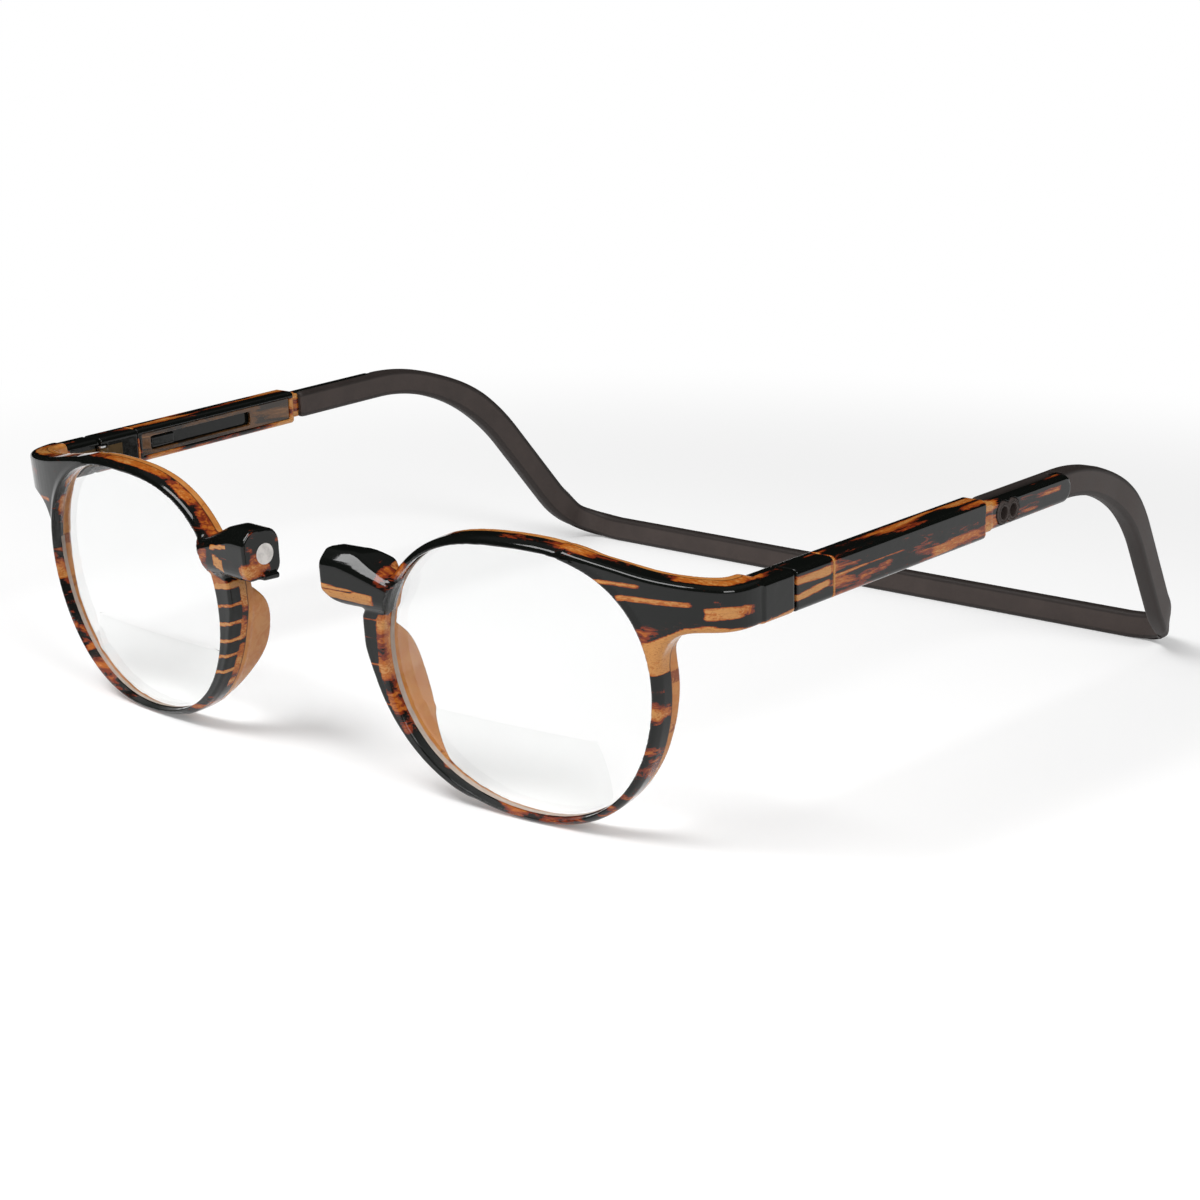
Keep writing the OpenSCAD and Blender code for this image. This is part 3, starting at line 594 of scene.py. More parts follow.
def lens_mesh(name, side):
    """Closed lens: domed front with a raised reading segment, hollow back and ground edge"""
    turns = np.linspace(0, 2 * pi, 181)[:-1]
    edge = [(r * cos(a), r * sin(a)) for a, r in zip(turns, lens_radius(turns) - 0.1)]
    inner, outer = segment_line(0), segment_line(SEG_STEP)
    grid = np.array([
        (x, y) for x in np.arange(-22, 23, 1.0) for y in np.arange(-20, 21, 1.0)
        if hypot(x, y) < lens_radius(atan2(y, x)) - 0.9])
    grid = grid[np.abs(polygon_distance(*grid.T, inner)) > 0.5]
    points, loops = [], []
    for line in (edge, outer, inner):
        first, count = len(points), len(line)
        loops += [(first + i, first + (i + 1) % count) for i in range(count)]
        points += line
    points = [Vector(p) for p in points + grid.tolist()]
    flat, _, tris, originals, _, _ = delaunay_2d_cdt(points, loops, [], 0, 1e-5)
    flat = np.array([tuple(p) for p in flat])
    place = {o: i for i, source in enumerate(originals) for o in source}
    rim_loop = [place[i] for i in range(len(edge))]
    centre = np.array([flat[list(t)].mean(0) for t in tris])
    inside = np.hypot(*centre.T) < lens_radius(np.arctan2(centre[:, 1], centre[:, 0]))
    reading = polygon_distance(*centre.T, inner) < 0
    sag = (flat ** 2).sum(1) / (2 * BASE_R)
    rise = SEG_T * np.clip(1 - polygon_distance(*flat.T, inner) / SEG_STEP, 0, 1)
    front = np.column_stack([flat, -LENS_SET + rise - sag])
    back = np.column_stack([flat, -LENS_SET - LENS_T - sag])
    count = len(flat)
    faces, kinds = [], []
    for t, within, deep in zip(tris, inside, reading):
        if within:
            (ax, ay), (bx, by), (cx, cy) = flat[list(t)]
            turn = (bx - ax) * (cy - ay) - (by - ay) * (cx - ax)
            t = tuple(t)[::1 if turn > 0 else -1]
            faces += [t, tuple(i + count for i in reversed(t))]
            kinds += [int(deep), 0]
    for a, b in zip(rim_loop, rim_loop[1:] + rim_loop[:1]):
        faces.append((b, a, a + count, b + count))
        kinds.append(2)
    vertices = to_world(np.concatenate([front, back]), LENS_FRAME, side)
    obj = make_object(f"lens_body_{name}", vertices, faces, f"half_front_{name}", side)
    obj.data.polygons.foreach_set("material_index", kinds)
    obj.data.set_sharp_from_angle(angle=radians(25))
    return obj


class GLASSES_OT_lenses(bpy.types.Operator):
    """Lenses with their flat-top reading segments"""
    bl_idname = "glasses.lenses"
    bl_label = "Lenses"

    def execute(self, context):
        glass = glass_material("lens glass", (0.985, 0.99, 0.988))
        reading = glass_material("reading segment glass", (0.885, 0.90, 0.89))
        edge = lens_edge_material()
        for name, side in SIDES.items():
            dress(lens_mesh(name, side), f"lens_{name}", "clear_lens", glass, reading, edge)
        return {"FINISHED"}


# Temples and sliders

# Starts and ends along the temple of the cover's window, its slot and the slider's stop lug
WINDOW_S, WINDOW_E = 22.0, 57.7
SLOT_S, SLOT_E = 24.1, 47.8
LUG_S, LUG_E = 24.3, 29.6
TAB_HALF = 2.15
EYELETS, EYELET_CELL = (63.8, 66.3), 0.13

# Strokes on the temple's outer face: push, height at the start, rise per millimetre, start, half
# width and softness, then middle, half length and softness along the temple
TEMPLE_STROKES = (
    (0.45, -1.5, -0.03, 13, 0.45, 0.3, 16.5, 3.4, 0.7), (0.45, -3.9, 0.09, 13, 0.3, 0.25, 15.8, 3.6, 1.2),
    (0.3, -2.75, 0.006, 25, 0.08, 0.15, 29, 7.5, 2), (0.22, -3.9, 0.02, 30, 0.35, 0.35, 31, 2.5, 2),
    (0.17, -4.6, 0.03, 50, 0.55, 0.4, 52, 6, 2))
TAB_STROKE = (0.17, -2.2, -0.02, 72, 0.3, 0.3, 74, 5, 2)


def mid_box(p, across, along, half, r):
    """Rounded box centred on the temple's middle height"""
    n, s, h = p.T
    return rounded_box(n, s, h, (across[0], along[0], MID_H - half), (across[1], along[1], MID_H + half), r)


def root_field(long_round, p):
    n, s, h = p.T
    low, high = (-HALF_W + 0.02, FOLD_S - 3, -TEMPLE_H), (HALF_W, ROOT_END + 3, 0)
    body = both(rounded_box(n, s, h, low, high, long_round), FOLD_S + 0.06 - s, 0.2)
    return hinge_relief(both(body, s - ROOT_END + 0.01, 0.12), n, s, h)


def sleeve_field(long_round, p):
    n, s, h = p.T
    body = rounded_box(n, s, h, (-HALF_W, 15, -TEMPLE_H), (HALF_W, 65, 0), long_round)
    body = both(both(body, ROOT_END + 0.06 - s, 0.14), s - SLEEVE_END, 0.3)
    window = mid_box(p, (-4, -1.4), (WINDOW_S, WINDOW_E), 2, 0.35)
    channel = mid_box(p, (-1.6, 0.9), (WINDOW_S, 70), 1.5, 0.2)
    return both(both(body, -window, 0.12), -channel, 0.08)


def cover_field(p):
    """Inner plate of the sleeve with its long slot"""
    plate = mid_box(p, (-2.05, -1.4), (WINDOW_S + 0.02, WINDOW_E - 0.02), 1.975, 0.12)
    slot = mid_box(p * (0, 1, 1), (-9, 9), (SLOT_S, SLOT_E), 1.15, 0.5)
    return both(plate, -both(np.abs(p[:, 0]) - 9, slot, 0.1), 0.12)


def tab_edge(s, h):
    """Distance to the slider tab's outline, seen from the side"""
    round_end = np.hypot(s - TAB_END + TAB_HALF, h - MID_H)
    return np.where(s > TAB_END - TAB_HALF, round_end, np.abs(h - MID_H)) - TAB_HALF


def slider_field(p):
    n, s, h = p.T
    tongue = mid_box(p, (-1.25, 0.75), (LUG_S, TAB_S + 3), 1.35, 0.15)
    lug = mid_box(p, (-1.95, 0), (LUG_S, LUG_E), 1, 0.3)
    shoulder = mid_box(p, (-1.35, 1.9), (TAB_S, TAB_S + 2), TAB_HALF, 0.3)
    tab = both(tab_edge(s, h), np.abs(n - 0.775) - 1.125, 0.75)
    tab = either(both(tab, TAB_S - s, 0.15), shoulder, 0.15)
    body = np.minimum(np.minimum(tongue, lug), tab)
    for at in EYELETS:
        hole = np.maximum(np.hypot(s - at, h - MID_H) - 1.78, -0.34 - n)
        body = both(body, -hole, 0.12)
    return body


def eyelet_field(p):
    n, s, h = p.T
    radii = [np.hypot(s - at, h - MID_H) for at in EYELETS]
    body = both(either(radii[0] - 1.73, radii[1] - 1.73, 0.35), np.abs(n - 0.88) - 1.26, 0.3)
    for r in radii:
        groove = np.maximum(np.abs(r - 1.34) - 0.07, 2.04 - n)
        body = both(both(body, 0.95 - r, 0.16), -groove, 0.03)
    return body


def stroke(s, h, push, height, rise, start, half, soft, middle, reach, fade):
    return push * bump(h, height + rise * (s - start), half, soft) * bump(s, middle, reach, fade)


def temple_shade(p):
    """Painted push of the temple's pattern to amber, above 0, or to dark, below 0; painted reflection
    darkens the faces' upper parts
    """
    n, s, h = p.T
    outer, inner = ramp(n, 1, 2), ramp(-n, 0.6, 1.6)
    value = outer * sum(stroke(s, h, *row) for row in TEMPLE_STROKES) - 0.05
    # Painted reflection: the upper part of the sleeve's outer face is pushed dark, as the dark room shows
    # there
    value -= 0.1 * outer * bump(h, -1.5, 1.0, 0.3) * ramp(s, 21, 22)
    value -= 0.15 * outer * (1 - ramp(s, 20, 21.5))
    value += 0.07 * ramp(h, -0.35, -0.12) * ramp(s, 20, 30)
    # Painted glint in amber along the sleeve's rear end, and an amber line where root and sleeve meet
    value += 0.18 * ramp(s, 58.2, 58.5) + 0.25 * bump(s, 21.2, 0.12, 0.1)
    # Painted reflection: the inner face is pushed darker, most towards its top
    value -= inner * (0.06 + 0.25 * ramp(h, -1.9, -0.9))
    value += 0.2 * inner * ramp(-h, 4.5, 4.9) * ramp(s, 22, 24)
    return value + 0.3 * inner * ramp(s, 50, 57) * ramp(-h, 0.8, 1.4)


def slider_shade(p):
    """Painted push of the slider's pattern: amber painted glints at the top and bottom of the collar, an
    amber streak, and a dark tongue
    """
    n, s, h = p.T
    # Painted glint: amber at the top and bottom of the collar, whose middle stays dark
    value = 0.34 * bump(s, 59.6, 1.2, 0.4) * (1 - 0.9 * bump(h, MID_H, 0.9, 0.6))
    value -= 0.12 * ramp(s, 61, 63) + 0.25 * (1 - ramp(s, 56, 58))
    return value + stroke(s, h, *TAB_STROKE)


class GLASSES_OT_temples(bpy.types.Operator):
    """Temple roots, sleeves and slotted sleeve covers"""
    bl_idname = "glasses.temples"
    bl_label = "Temples"

    def execute(self, context):
        settings = context.scene.glasses
        tortoise = acetate_material(settings, "temple acetate", (0.9, 0.13, 0.9), 0.06)
        amber = amber_material()
        cell, long_round = settings.temple_cell / MM, settings.temple_round / MM
        masks = {"layer_depth": blank, "shade": temple_shade}
        for name in SIDES:
            build(name, TEMPLE_FRAME, "temple", (
                ("root_shell", "temple_root", "tortoise_acetate", tortoise,
                 partial(root_field, long_round), cell, ((-2.8, 12.4, -6.4), (2.8, 21.6, 0.5)), masks),
                ("sleeve_shell", "temple_sleeve", "tortoise_acetate", tortoise,
                 partial(sleeve_field, long_round), cell, ((-2.8, 20.6, -6.4), (2.8, 59.2, 0.5)), masks),
                ("cover_plate", "sleeve_cover", "amber_acetate", amber, cover_field, cell,
                 ((-2.5, 21.6, -5.3), (-1.0, 58.1, -0.6)), {})))
        return {"FINISHED"}


class GLASSES_OT_sliders(bpy.types.Operator):
    """Sliders with their outer tabs, and the rubber eyelets through them"""
    bl_idname = "glasses.sliders"
    bl_label = "Sliders and eyelets"

    def execute(self, context):
        settings = context.scene.glasses
        tortoise = acetate_material(settings, "slider acetate", (0.9, 0.12, 1.1), 0.054)
        rubber, cell = rubber_material(settings), settings.temple_cell / MM
        for name in SIDES:
            build(name, TEMPLE_FRAME, "arm", (
                ("slider_shell", "slider", "tortoise_acetate", tortoise, slider_field, cell,
                 ((-2.4, 23.9, -5.5), (2.3, 84, -0.4)), {"layer_depth": blank, "shade": slider_shade}),
                ("eyelet_pair", "band_eyelets", "band_rubber", rubber, eyelet_field, EYELET_CELL,
                 ((-0.8, 61.6, -5.2), (2.5, 68.5, -0.7)), {"edge": blank})))
        return {"FINISHED"}


# Neckband

# Middle of the band and face of its strip under the tab, both across the temple; the rounding
# of its edges; and how far before the level stretch the corner starts
BAND_N, STRIP_FACE, BAND_EDGE, CORNER_LEAD = -1.3, -0.4, 0.7, 11.3
CAP_RINGS, FLAT_ROWS = 4, 19


def band_route():
    """Points of the band's route with their headings and pitches, from the strip to the centre piece"""
    fall_start = TAB_END - 1
    slope_s = fall_start + FALL_R * (DROP + RISE)
    level_s = slope_s + SLOPE_L + LEVEL_R * DROP
    corner_s = level_s - CORNER_LEAD
    corner_e = corner_s + CORNER_R * (pi / 2 - BEND_IN)
    end = max(level_s, corner_e)

    def pitch(s):
        return np.interp(s, [fall_start, slope_s, slope_s + SLOPE_L, level_s], [RISE, -DROP, -DROP, 0])

    def heading(s):
        return np.interp(s, [fall_start - 4, slope_s, corner_s, corner_e],
                         [-TOE, BEND_IN, BEND_IN, pi / 2])

    def along(s):
        a, b = heading(s), pitch(s)
        return np.stack([-np.sin(a) * np.cos(b), np.cos(a) * np.cos(b), np.sin(b)], -1)

    fine = np.linspace(STRIP_S, end, 4001)
    middle = (fine[1:] + fine[:-1]) / 2
    start = TEMPLE_AT + np.array([BAND_N, STRIP_S, MID_H]) @ TEMPLE_AXES
    path = start + np.concatenate([[np.zeros(3)], np.cumsum(along(middle) * (fine[1] - fine[0]), 0)])
    # Rings lie closest where the strip starts, where the band comes clear of the tab and in the corner
    marks = np.concatenate([
        np.linspace(STRIP_S, STRIP_S + 1, 5), np.linspace(62.5, 79, 12), np.arange(79.4, 86, 0.22),
        np.linspace(86.5, corner_s - 1, 90), np.linspace(corner_s, corner_e, 26), [end]])
    places = np.stack([np.interp(marks, fine, path[:, i]) for i in range(3)], 1)
    places[:, 2] = np.maximum(places[:, 2], BAND_H / 2)
    rings = [(s, p, float(heading(s)), float(pitch(s))) for s, p in zip(marks, places)]
    last = places[-1][0]
    return rings + rear_rings(np.linspace(last - 1, CENTRE_X, 9), end + last)


def rear_rings(places, start):
    """Rings of the level stretch across the back, each at its place from side to side"""
    return [(start - x, np.array([x, FLEX_Y, BAND_H / 2]), pi / 2, 0.0) for x in places]


def band_outline(s):
    """Section of the band at a place: points across and up, and how close each is to a corner, for the
    painted edge shade
    """
    thick = float(np.interp(s, [TAB_END, TAB_END + 20], [3.0, 2.4]))
    outer = BAND_INNER + thick + 0.4 * ramp(s, 100, 115) * (1 - ramp(s, 142, 147.5))
    outer -= 0.5 * bump(s, 150.8, 1.6, 4.2)
    wider = float(0.85 * ramp(s, 96, 112) * (1 - ramp(s, 142.5, 149.5)))
    rounder = float(1.3 * bump(s, 151.5, 3, 3))
    top = BAND_H / 2

    def spread(h):
        """Height where the slope's stretch is a little wider"""
        return h + wider * (h / BAND_H + 0.5)

    def tuck(h):
        """Rounding of the lower outer edge at the rear corner"""
        return rounder * (1 - sqrt(max(0.0, 1 - (max(0.0, -0.9 - h) / 1.46) ** 2)))

    def clear_of_tab(h):
        """0 where the strip lies under the slider's tab, and 1 where the band is full"""
        if s < TAB_END - 3 or s >= TAB_END + 1:
            return float(s > TAB_END)
        return float(ramp(tab_edge(np.array(s), np.array(MID_H + h)), 0.07, 0.24))

    corner = [(BAND_EDGE * (cos(a) - 1), top + BAND_EDGE * (sin(a) - 1), 1.0)
              for a in np.linspace(pi / 2, 0, 5)]
    flat = [(0.0, h, 0.0) for h in np.linspace(top - BAND_EDGE, BAND_EDGE - top, FLAT_ROWS)[1:-1]]
    wall = corner + flat + [(inset, -h, edge) for inset, h, edge in reversed(corner)]
    result = []
    for inset, h, edge in wall:
        t = clear_of_tab(h)
        face = STRIP_FACE + (outer - STRIP_FACE) * t
        # The step wall beside the slider's tab gets the painted edge shade too
        result.append((face + inset - tuck(h), spread(h), max(edge, 4 * t * (1 - t))))
    return result + [(BAND_INNER - inset, spread(h), edge) for inset, h, edge in reversed(wall)]


def band_mesh(name, rings, side, body, round_start):
    """Closed tube of the band's section along its rings"""
    vertices, shaded_edges, faces = [], [], []
    for index, (s, place, heading, pitch) in enumerate(rings):
        across = np.array([cos(heading), sin(heading), 0])
        forward = np.array([-sin(heading) * cos(pitch), cos(heading) * cos(pitch),
                            sin(pitch)])
        up = np.cross(across, forward)
        shrink = 0.0
        if round_start and index < CAP_RINGS:
            shrink = 0.3 * (1 - sqrt(1 - (1 - index / CAP_RINGS) ** 2))
        for n, h, edge in band_outline(s):
            n, h = (n - BAND_N) * (1 - shrink / 0.9), h * (1 - shrink / 2.35)
            vertices.append(place + n * across + h * up)
            shaded_edges.append(edge)
    width = len(vertices) // len(rings)
    for first in range(0, len(vertices) - width, width):
        for k in range(width):
            m = (k + 1) % width
            faces.append((first + k, first + m, first + width + m, first + width + k))
    for at, turn in ((0, -1), (len(rings) - 1, 1)):
        faces.append(tuple(len(vertices) + k for k in range(width))[::turn])
        vertices += vertices[at * width:(at + 1) * width]
        shaded_edges += shaded_edges[at * width:(at + 1) * width]
    world = to_world(np.array(vertices), WHOLE_FRAME, side)
    # The edge mask carries the shade painted along the band's rounded edges
    return make_object(name, world, faces, body, side, None, {"edge": shaded_edges})


class GLASSES_OT_neckband(bpy.types.Operator):
    """Rubber neckband: two side stretches round the rear corners, where the band flexes, and the rear
    stretch
    """
    bl_idname = "glasses.neckband"
    bl_label = "Neckband"

    def execute(self, context):
        rubber = rubber_material(context.scene.glasses)
        rings = band_route()
        for name, side in SIDES.items():
            obj = band_mesh(f"band_side_{name}", rings, side, None, True)
            dress(obj, f"neckband_{name}", "band_rubber", rubber)
            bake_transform(obj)
        back = [(rings[-1][0], *ring[1:]) for ring in rear_rings(np.linspace(CENTRE_X, -CENTRE_X, 25), 0)]
        obj = band_mesh("band_rear", back, 1, "neckband_back", False)
        dress(obj, "neckband_centre", "band_rubber", rubber)
        return {"FINISHED"}


# Materials

class Nodes:
    """One node tree, whose nodes take numbers, colours or the sockets of other nodes"""

    def __init__(self, tree):
        self.tree = tree

    def feed(self, node, inputs):
        for key, value in inputs.items():
            if isinstance(value, bpy.types.NodeSocket):
                self.tree.links.new(value, node.inputs[key])
            else:
                node.inputs[key].default_value = value

    def add(self, kind, inputs=None, **settings):
        node = self.tree.nodes.new("ShaderNode" + kind)
        for key, value in settings.items():
            setattr(node, key, value)
        self.feed(node, inputs or {})
        return node

    def calc(self, operation, a, b=0.0, c=0.0):
        return self.add("Math", {0: a, 1: b, 2: c}, operation=operation).outputs[0]

    def times(self, a, b):
        return self.calc("MULTIPLY", a, b)

    def less(self, a, b):
        return self.calc("SUBTRACT", a, b)

    def times_plus(self, value, factor, more):
        return self.calc("MULTIPLY_ADD", value, factor, more)

    def mix(self, factor, a, b):
        """Colour a, which turns to b as the factor goes from 0 to 1"""
        return self.add("Mix", {0: factor, 6: a, 7: b}, data_type="RGBA").outputs[2]

    def step(self, value, low, high):
        """Smooth step from 0 at low to 1 at high"""
        return self.add("MapRange", {"Value": value, "From Min": low, "From Max": high},
                        interpolation_type="SMOOTHSTEP").outputs["Result"]

    def stretch(self, place, by):
        return self.add("VectorMath", {0: place, 1: by}, operation="MULTIPLY").outputs[0]

    def noise(self, place, scale, detail, rough=0.5, twist=0.0):
        return self.add("TexNoise", {"Vector": place, "Scale": scale, "Detail": detail, "Roughness": rough,
                                     "Distortion": twist}).outputs[0]

    def relief(self, height, strength, distance):
        return self.add("Bump", {"Height": height, "Strength": strength, "Distance": distance}).outputs[0]


class MaterialNodes(Nodes):
    """Nodes of a new material: a Principled shader, and each point's place on the object"""

    def __init__(self, name):
        self.material = bpy.data.materials.new(name)
        self.material.use_nodes = True
        super().__init__(self.material.node_tree)
        self.tree.nodes.clear()
        self.shader = self.add("BsdfPrincipled")
        self.out = self.add("OutputMaterial", {0: self.shader.outputs[0]})
        self.place = self.add("TexCoord").outputs["Object"]

    def mask(self, name):
        return self.add("Attribute", attribute_name=name).outputs["Fac"]

    def finish(self, inputs):
        self.feed(self.shader, inputs)
        return self.material


def tone(colour, by=1.0):
    """Colour with an opaque alpha, made lighter or darker by a factor"""
    return (*(min(1, c * by) for c in colour), 1.0)


def tortoise_group():
    """Streaks of dark, red-brown, amber and caramel plastic over a honey rear layer"""
    name = "Tortoise Streaks"
    if name in bpy.data.node_groups:
        return bpy.data.node_groups[name]
    tree = bpy.data.node_groups.new(name, "ShaderNodeTree")
    for way, kind, labels in (
            ("INPUT", "Vector", ("Place", "Stretch")), ("INPUT", "Float", ("Shade", "Depth", "Layer")),
            ("INPUT", "Color", ("Dark", "Red", "Amber", "Caramel", "Honey")),
            ("OUTPUT", "Color", ("Color",)), ("OUTPUT", "Float", ("Roughness", "Height"))):
        for label in labels:
            tree.interface.new_socket(label, in_out=way, socket_type="NodeSocket" + kind)
    nodes = Nodes(tree)
    given, result = tree.nodes.new("NodeGroupInput").outputs, tree.nodes.new("NodeGroupOutput")
    place = nodes.stretch(given["Place"], (1000, 1000, 1000))
    spread = nodes.stretch(place, given["Stretch"])
    broad, fine = nodes.noise(spread, 0.55, 2, 0.45, 0.5), nodes.noise(spread, 2.3, 3, 0.55, 1.2)
    hair, wisps = nodes.noise(spread, 7, 2, 0.5, 0.6), nodes.noise(place, 0.5, 3, 0.6, 0.8)
    scuff, swell = nodes.noise(place, 3, 4, 0.6), nodes.noise(place, 0.45, 2, 0.4)

    # Front layer: the higher the value, the paler the plastic, with red threads through it
    value = nodes.times_plus(nodes.less(fine, 0.5), 0.32, broad)
    value = nodes.calc("ADD", value, given["Shade"])
    lit = nodes.times_plus(nodes.less(hair, 0.5), 0.35, value)
    colour = nodes.mix(nodes.step(value, 0.49, 0.53), given["Dark"], given["Red"])
    colour = nodes.mix(nodes.step(value, 0.54, 0.61), colour, given["Amber"])
    colour = nodes.mix(nodes.step(lit, 0.62, 0.78), colour, given["Caramel"])
    thread = nodes.step(nodes.calc("ABSOLUTE", nodes.less(hair, 0.44)), 0.03, 0.005)
    thread = nodes.times(thread, nodes.step(value, 0.43, 0.52))
    colour = nodes.mix(nodes.times(thread, 0.55), colour, given["Red"])

    # Rear layer: honey and amber clouds with red wisps
    cloud = nodes.times_plus(nodes.step(wisps, 0.3, 0.7), 0.5, 0.5)
    rear = nodes.mix(cloud, given["Amber"], given["Honey"])
    wisp = nodes.step(nodes.less(fine, given["Shade"]), 0.56, 0.8)
    rear = nodes.mix(nodes.times(wisp, 0.8), rear, given["Red"])

    # The layers meet in a thin dark seam
    behind = nodes.less(given["Depth"], given["Layer"])
    colour = nodes.mix(nodes.step(behind, -0.06, 0.06), colour, rear)
    seam = nodes.step(nodes.calc("ABSOLUTE", behind), 0.16, 0.02)
    nodes.feed(result, {
        "Color": nodes.mix(nodes.times(seam, 0.75), colour, given["Dark"]),
        "Roughness": nodes.times_plus(nodes.step(scuff, 0.35, 0.8), 0.06, 0.07),
        "Height": nodes.times_plus(scuff, 0.03, swell)})
    return tree


def acetate_material(settings, name, stretch, coat):
    """Polished tortoise plastic; the stretch sets how its streaks lie"""
    nodes = MaterialNodes(name)
    streaks = nodes.add("Group", node_tree=tortoise_group())
    nodes.feed(streaks, {
        "Place": nodes.place, "Stretch": stretch, "Shade": nodes.mask("shade"),
        "Depth": nodes.mask("layer_depth"), "Layer": settings.layer_depth / MM,
        "Dark": tone(settings.dark), "Red": tone(settings.red),
        "Amber": tone(settings.amber), "Caramel": tone(settings.caramel), "Honey": tone(settings.honey)})
    return nodes.finish({
        "Base Color": streaks.outputs["Color"], "Roughness": streaks.outputs["Roughness"],
        "Normal": nodes.relief(streaks.outputs["Height"], 0.08, 0.0003), "IOR": 1.48,
        "Specular IOR Level": 0.33, "Coat Weight": coat, "Coat Roughness": 0.02})


def amber_material():
    """Slotted cover: clear amber plastic over the dark channel"""
    nodes = MaterialNodes("amber cover")
    cloud = nodes.noise(nodes.stretch(nodes.place, (900, 160, 900)), 0.8, 4, 0.6, 0.8)
    deep, warm, pale = (0.022, 0.012, 0.005, 1), (0.11, 0.045, 0.012, 1), (0.30, 0.13, 0.035, 1)
    colour = nodes.mix(nodes.step(cloud, 0.38, 0.56), deep, warm)
    return nodes.finish({
        "Base Color": nodes.mix(nodes.step(cloud, 0.56, 0.7), colour, pale),
        "Roughness": nodes.times_plus(nodes.noise(nodes.place, 4000, 3), 0.08, 0.08),
        "Normal": nodes.relief(cloud, 0.25, 0.0002), "IOR": 1.48, "Coat Weight": 0.3})


def rubber_material(settings):
    """Matt brown rubber with a fine skin, shade painted as a darker line along the edges, and faint rub
    marks
    """
    name = "band rubber"
    if name in bpy.data.materials:
        return bpy.data.materials[name]
    nodes = MaterialNodes(name)
    cloud, skin = nodes.noise(nodes.place, 160, 4, 0.6), nodes.noise(nodes.place, 2600, 4, 0.65)
    speck = nodes.step(nodes.noise(nodes.place, 900, 5, 0.7), 0.70, 0.80)
    colour = nodes.mix(nodes.step(cloud, 0.3, 0.75), tone(settings.rubber, 0.78), tone(settings.rubber))
    colour = nodes.mix(nodes.times(speck, 0.5), colour, tone(settings.rubber, 1.9))
    # Painted shade: the colour darkens along the rounded edges and at the step by the tab
    corner = nodes.times(nodes.mask("edge"), 0.6)
    return nodes.finish({
        "Base Color": nodes.mix(corner, colour, tone(settings.rubber, 0.16)),
        "Roughness": nodes.times_plus(cloud, 0.16, 0.5), "Normal": nodes.relief(skin, 0.35, 0.00006),
        "Specular IOR Level": 0.35})


def glass_material(name, tint):
    """Clear plastic lens; it lets most of the light through to what it shades"""
    nodes = MaterialNodes(name)
    smear = nodes.noise(nodes.place, 220, 3)
    path = nodes.add("LightPath").outputs
    clear = nodes.times(path["Is Shadow Ray"], 0.94)
    blend = nodes.add("MixShader", {
        0: clear, 1: nodes.shader.outputs[0], 2: nodes.add("BsdfTransparent").outputs[0]})
    nodes.feed(nodes.out, {0: blend.outputs[0]})
    return nodes.finish({
        "Base Color": nodes.mix(smear, tone(tint, 0.985), tone(tint)),
        "Roughness": nodes.times_plus(nodes.step(smear, 0.55, 0.8), 0.012, 0.0),
        "Transmission Weight": 1.0, "IOR": 1.49})


def lens_edge_material():
    """Ground edge of the lens, seen as a pale ring through the glass"""
    nodes = MaterialNodes("lens ground edge")
    grind = nodes.noise(nodes.place, 1500, 3)
    return nodes.finish({
        "Base Color": nodes.mix(grind, (0.30, 0.24, 0.20, 1), (0.46, 0.39, 0.34, 1)),
        "Roughness": nodes.times_plus(grind, 0.2, 0.6), "Specular IOR Level": 0.0})


def metal_material(name, tint, rough, grain):
    """Turned or plated metal with fine machining marks and a little tarnish"""
    nodes = MaterialNodes(name)
    lines = nodes.noise(nodes.stretch(nodes.place, grain), 1, 3, 0.6)
    tarnish = nodes.step(nodes.noise(nodes.place, 700, 4, 0.6), 0.45, 0.75)
    return nodes.finish({
        "Base Color": nodes.mix(tarnish, tone(tint), tone(tint, 0.72)),
        "Roughness": nodes.times_plus(lines, 0.16, rough - 0.08),
        "Normal": nodes.relief(lines, 0.2, 0.00002), "Metallic": 1.0})


class GLASSES_OT_metal(bpy.types.Operator):
    """Finishes of the magnets, hinge leaves and hinge screws"""
    bl_idname = "glasses.metal"
    bl_label = "Metal parts"

    def execute(self, context):
        magnet = metal_material("magnet plating", (0.76, 0.73, 0.70), 0.42, (2600, 2600, 2600))
        # Painted shade: the hinge leaves' gilt is tinted nearly black, as they sit in shade at the hinge
        shaded_gilt = metal_material("gilt leaf", (0.085, 0.055, 0.026), 0.34, (400, 4000, 9000))
        steel = metal_material("screw steel", (0.74, 0.74, 0.75), 0.26, (7000, 7000, 800))
        for name in SIDES:
            for node, finish in (("bridge_magnet", magnet), ("hinge_leaf_front", shaded_gilt),
                                 ("hinge_leaf_temple", shaded_gilt), ("hinge_screw", steel)):
                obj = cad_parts[f"{node}_{name}"]
                obj.data.materials.clear()
                obj.data.materials.append(finish)
        return {"FINISHED"}


# Stage

FLOOR_HALF = 20
# Distances from the middle between which the floor fades into the plain white around it
FADE_START, FADE_END = 0.13, 0.34
# Lamps: place, size and factor on the lamp power; both face the same point
LAMPS = {"front strip lamp": ((-0.09, -0.41, 0.63), (0.50, 0.24), 4.6),
         "side lamp": ((0.62, -0.30, 0.42), (0.26, 0.26), 2.3)}
LAMP_AIM = Vector((0, 0, 0.02))
AZIMUTH, ELEVATION, ROLL = radians(39.383), radians(14.554), radians(0.264)
CAMERA_AIM = (6.549, 60.0 - MID_Y, 14.903)
CAMERA_DISTANCE, FOCAL_LENGTH = 0.384447, 70.245


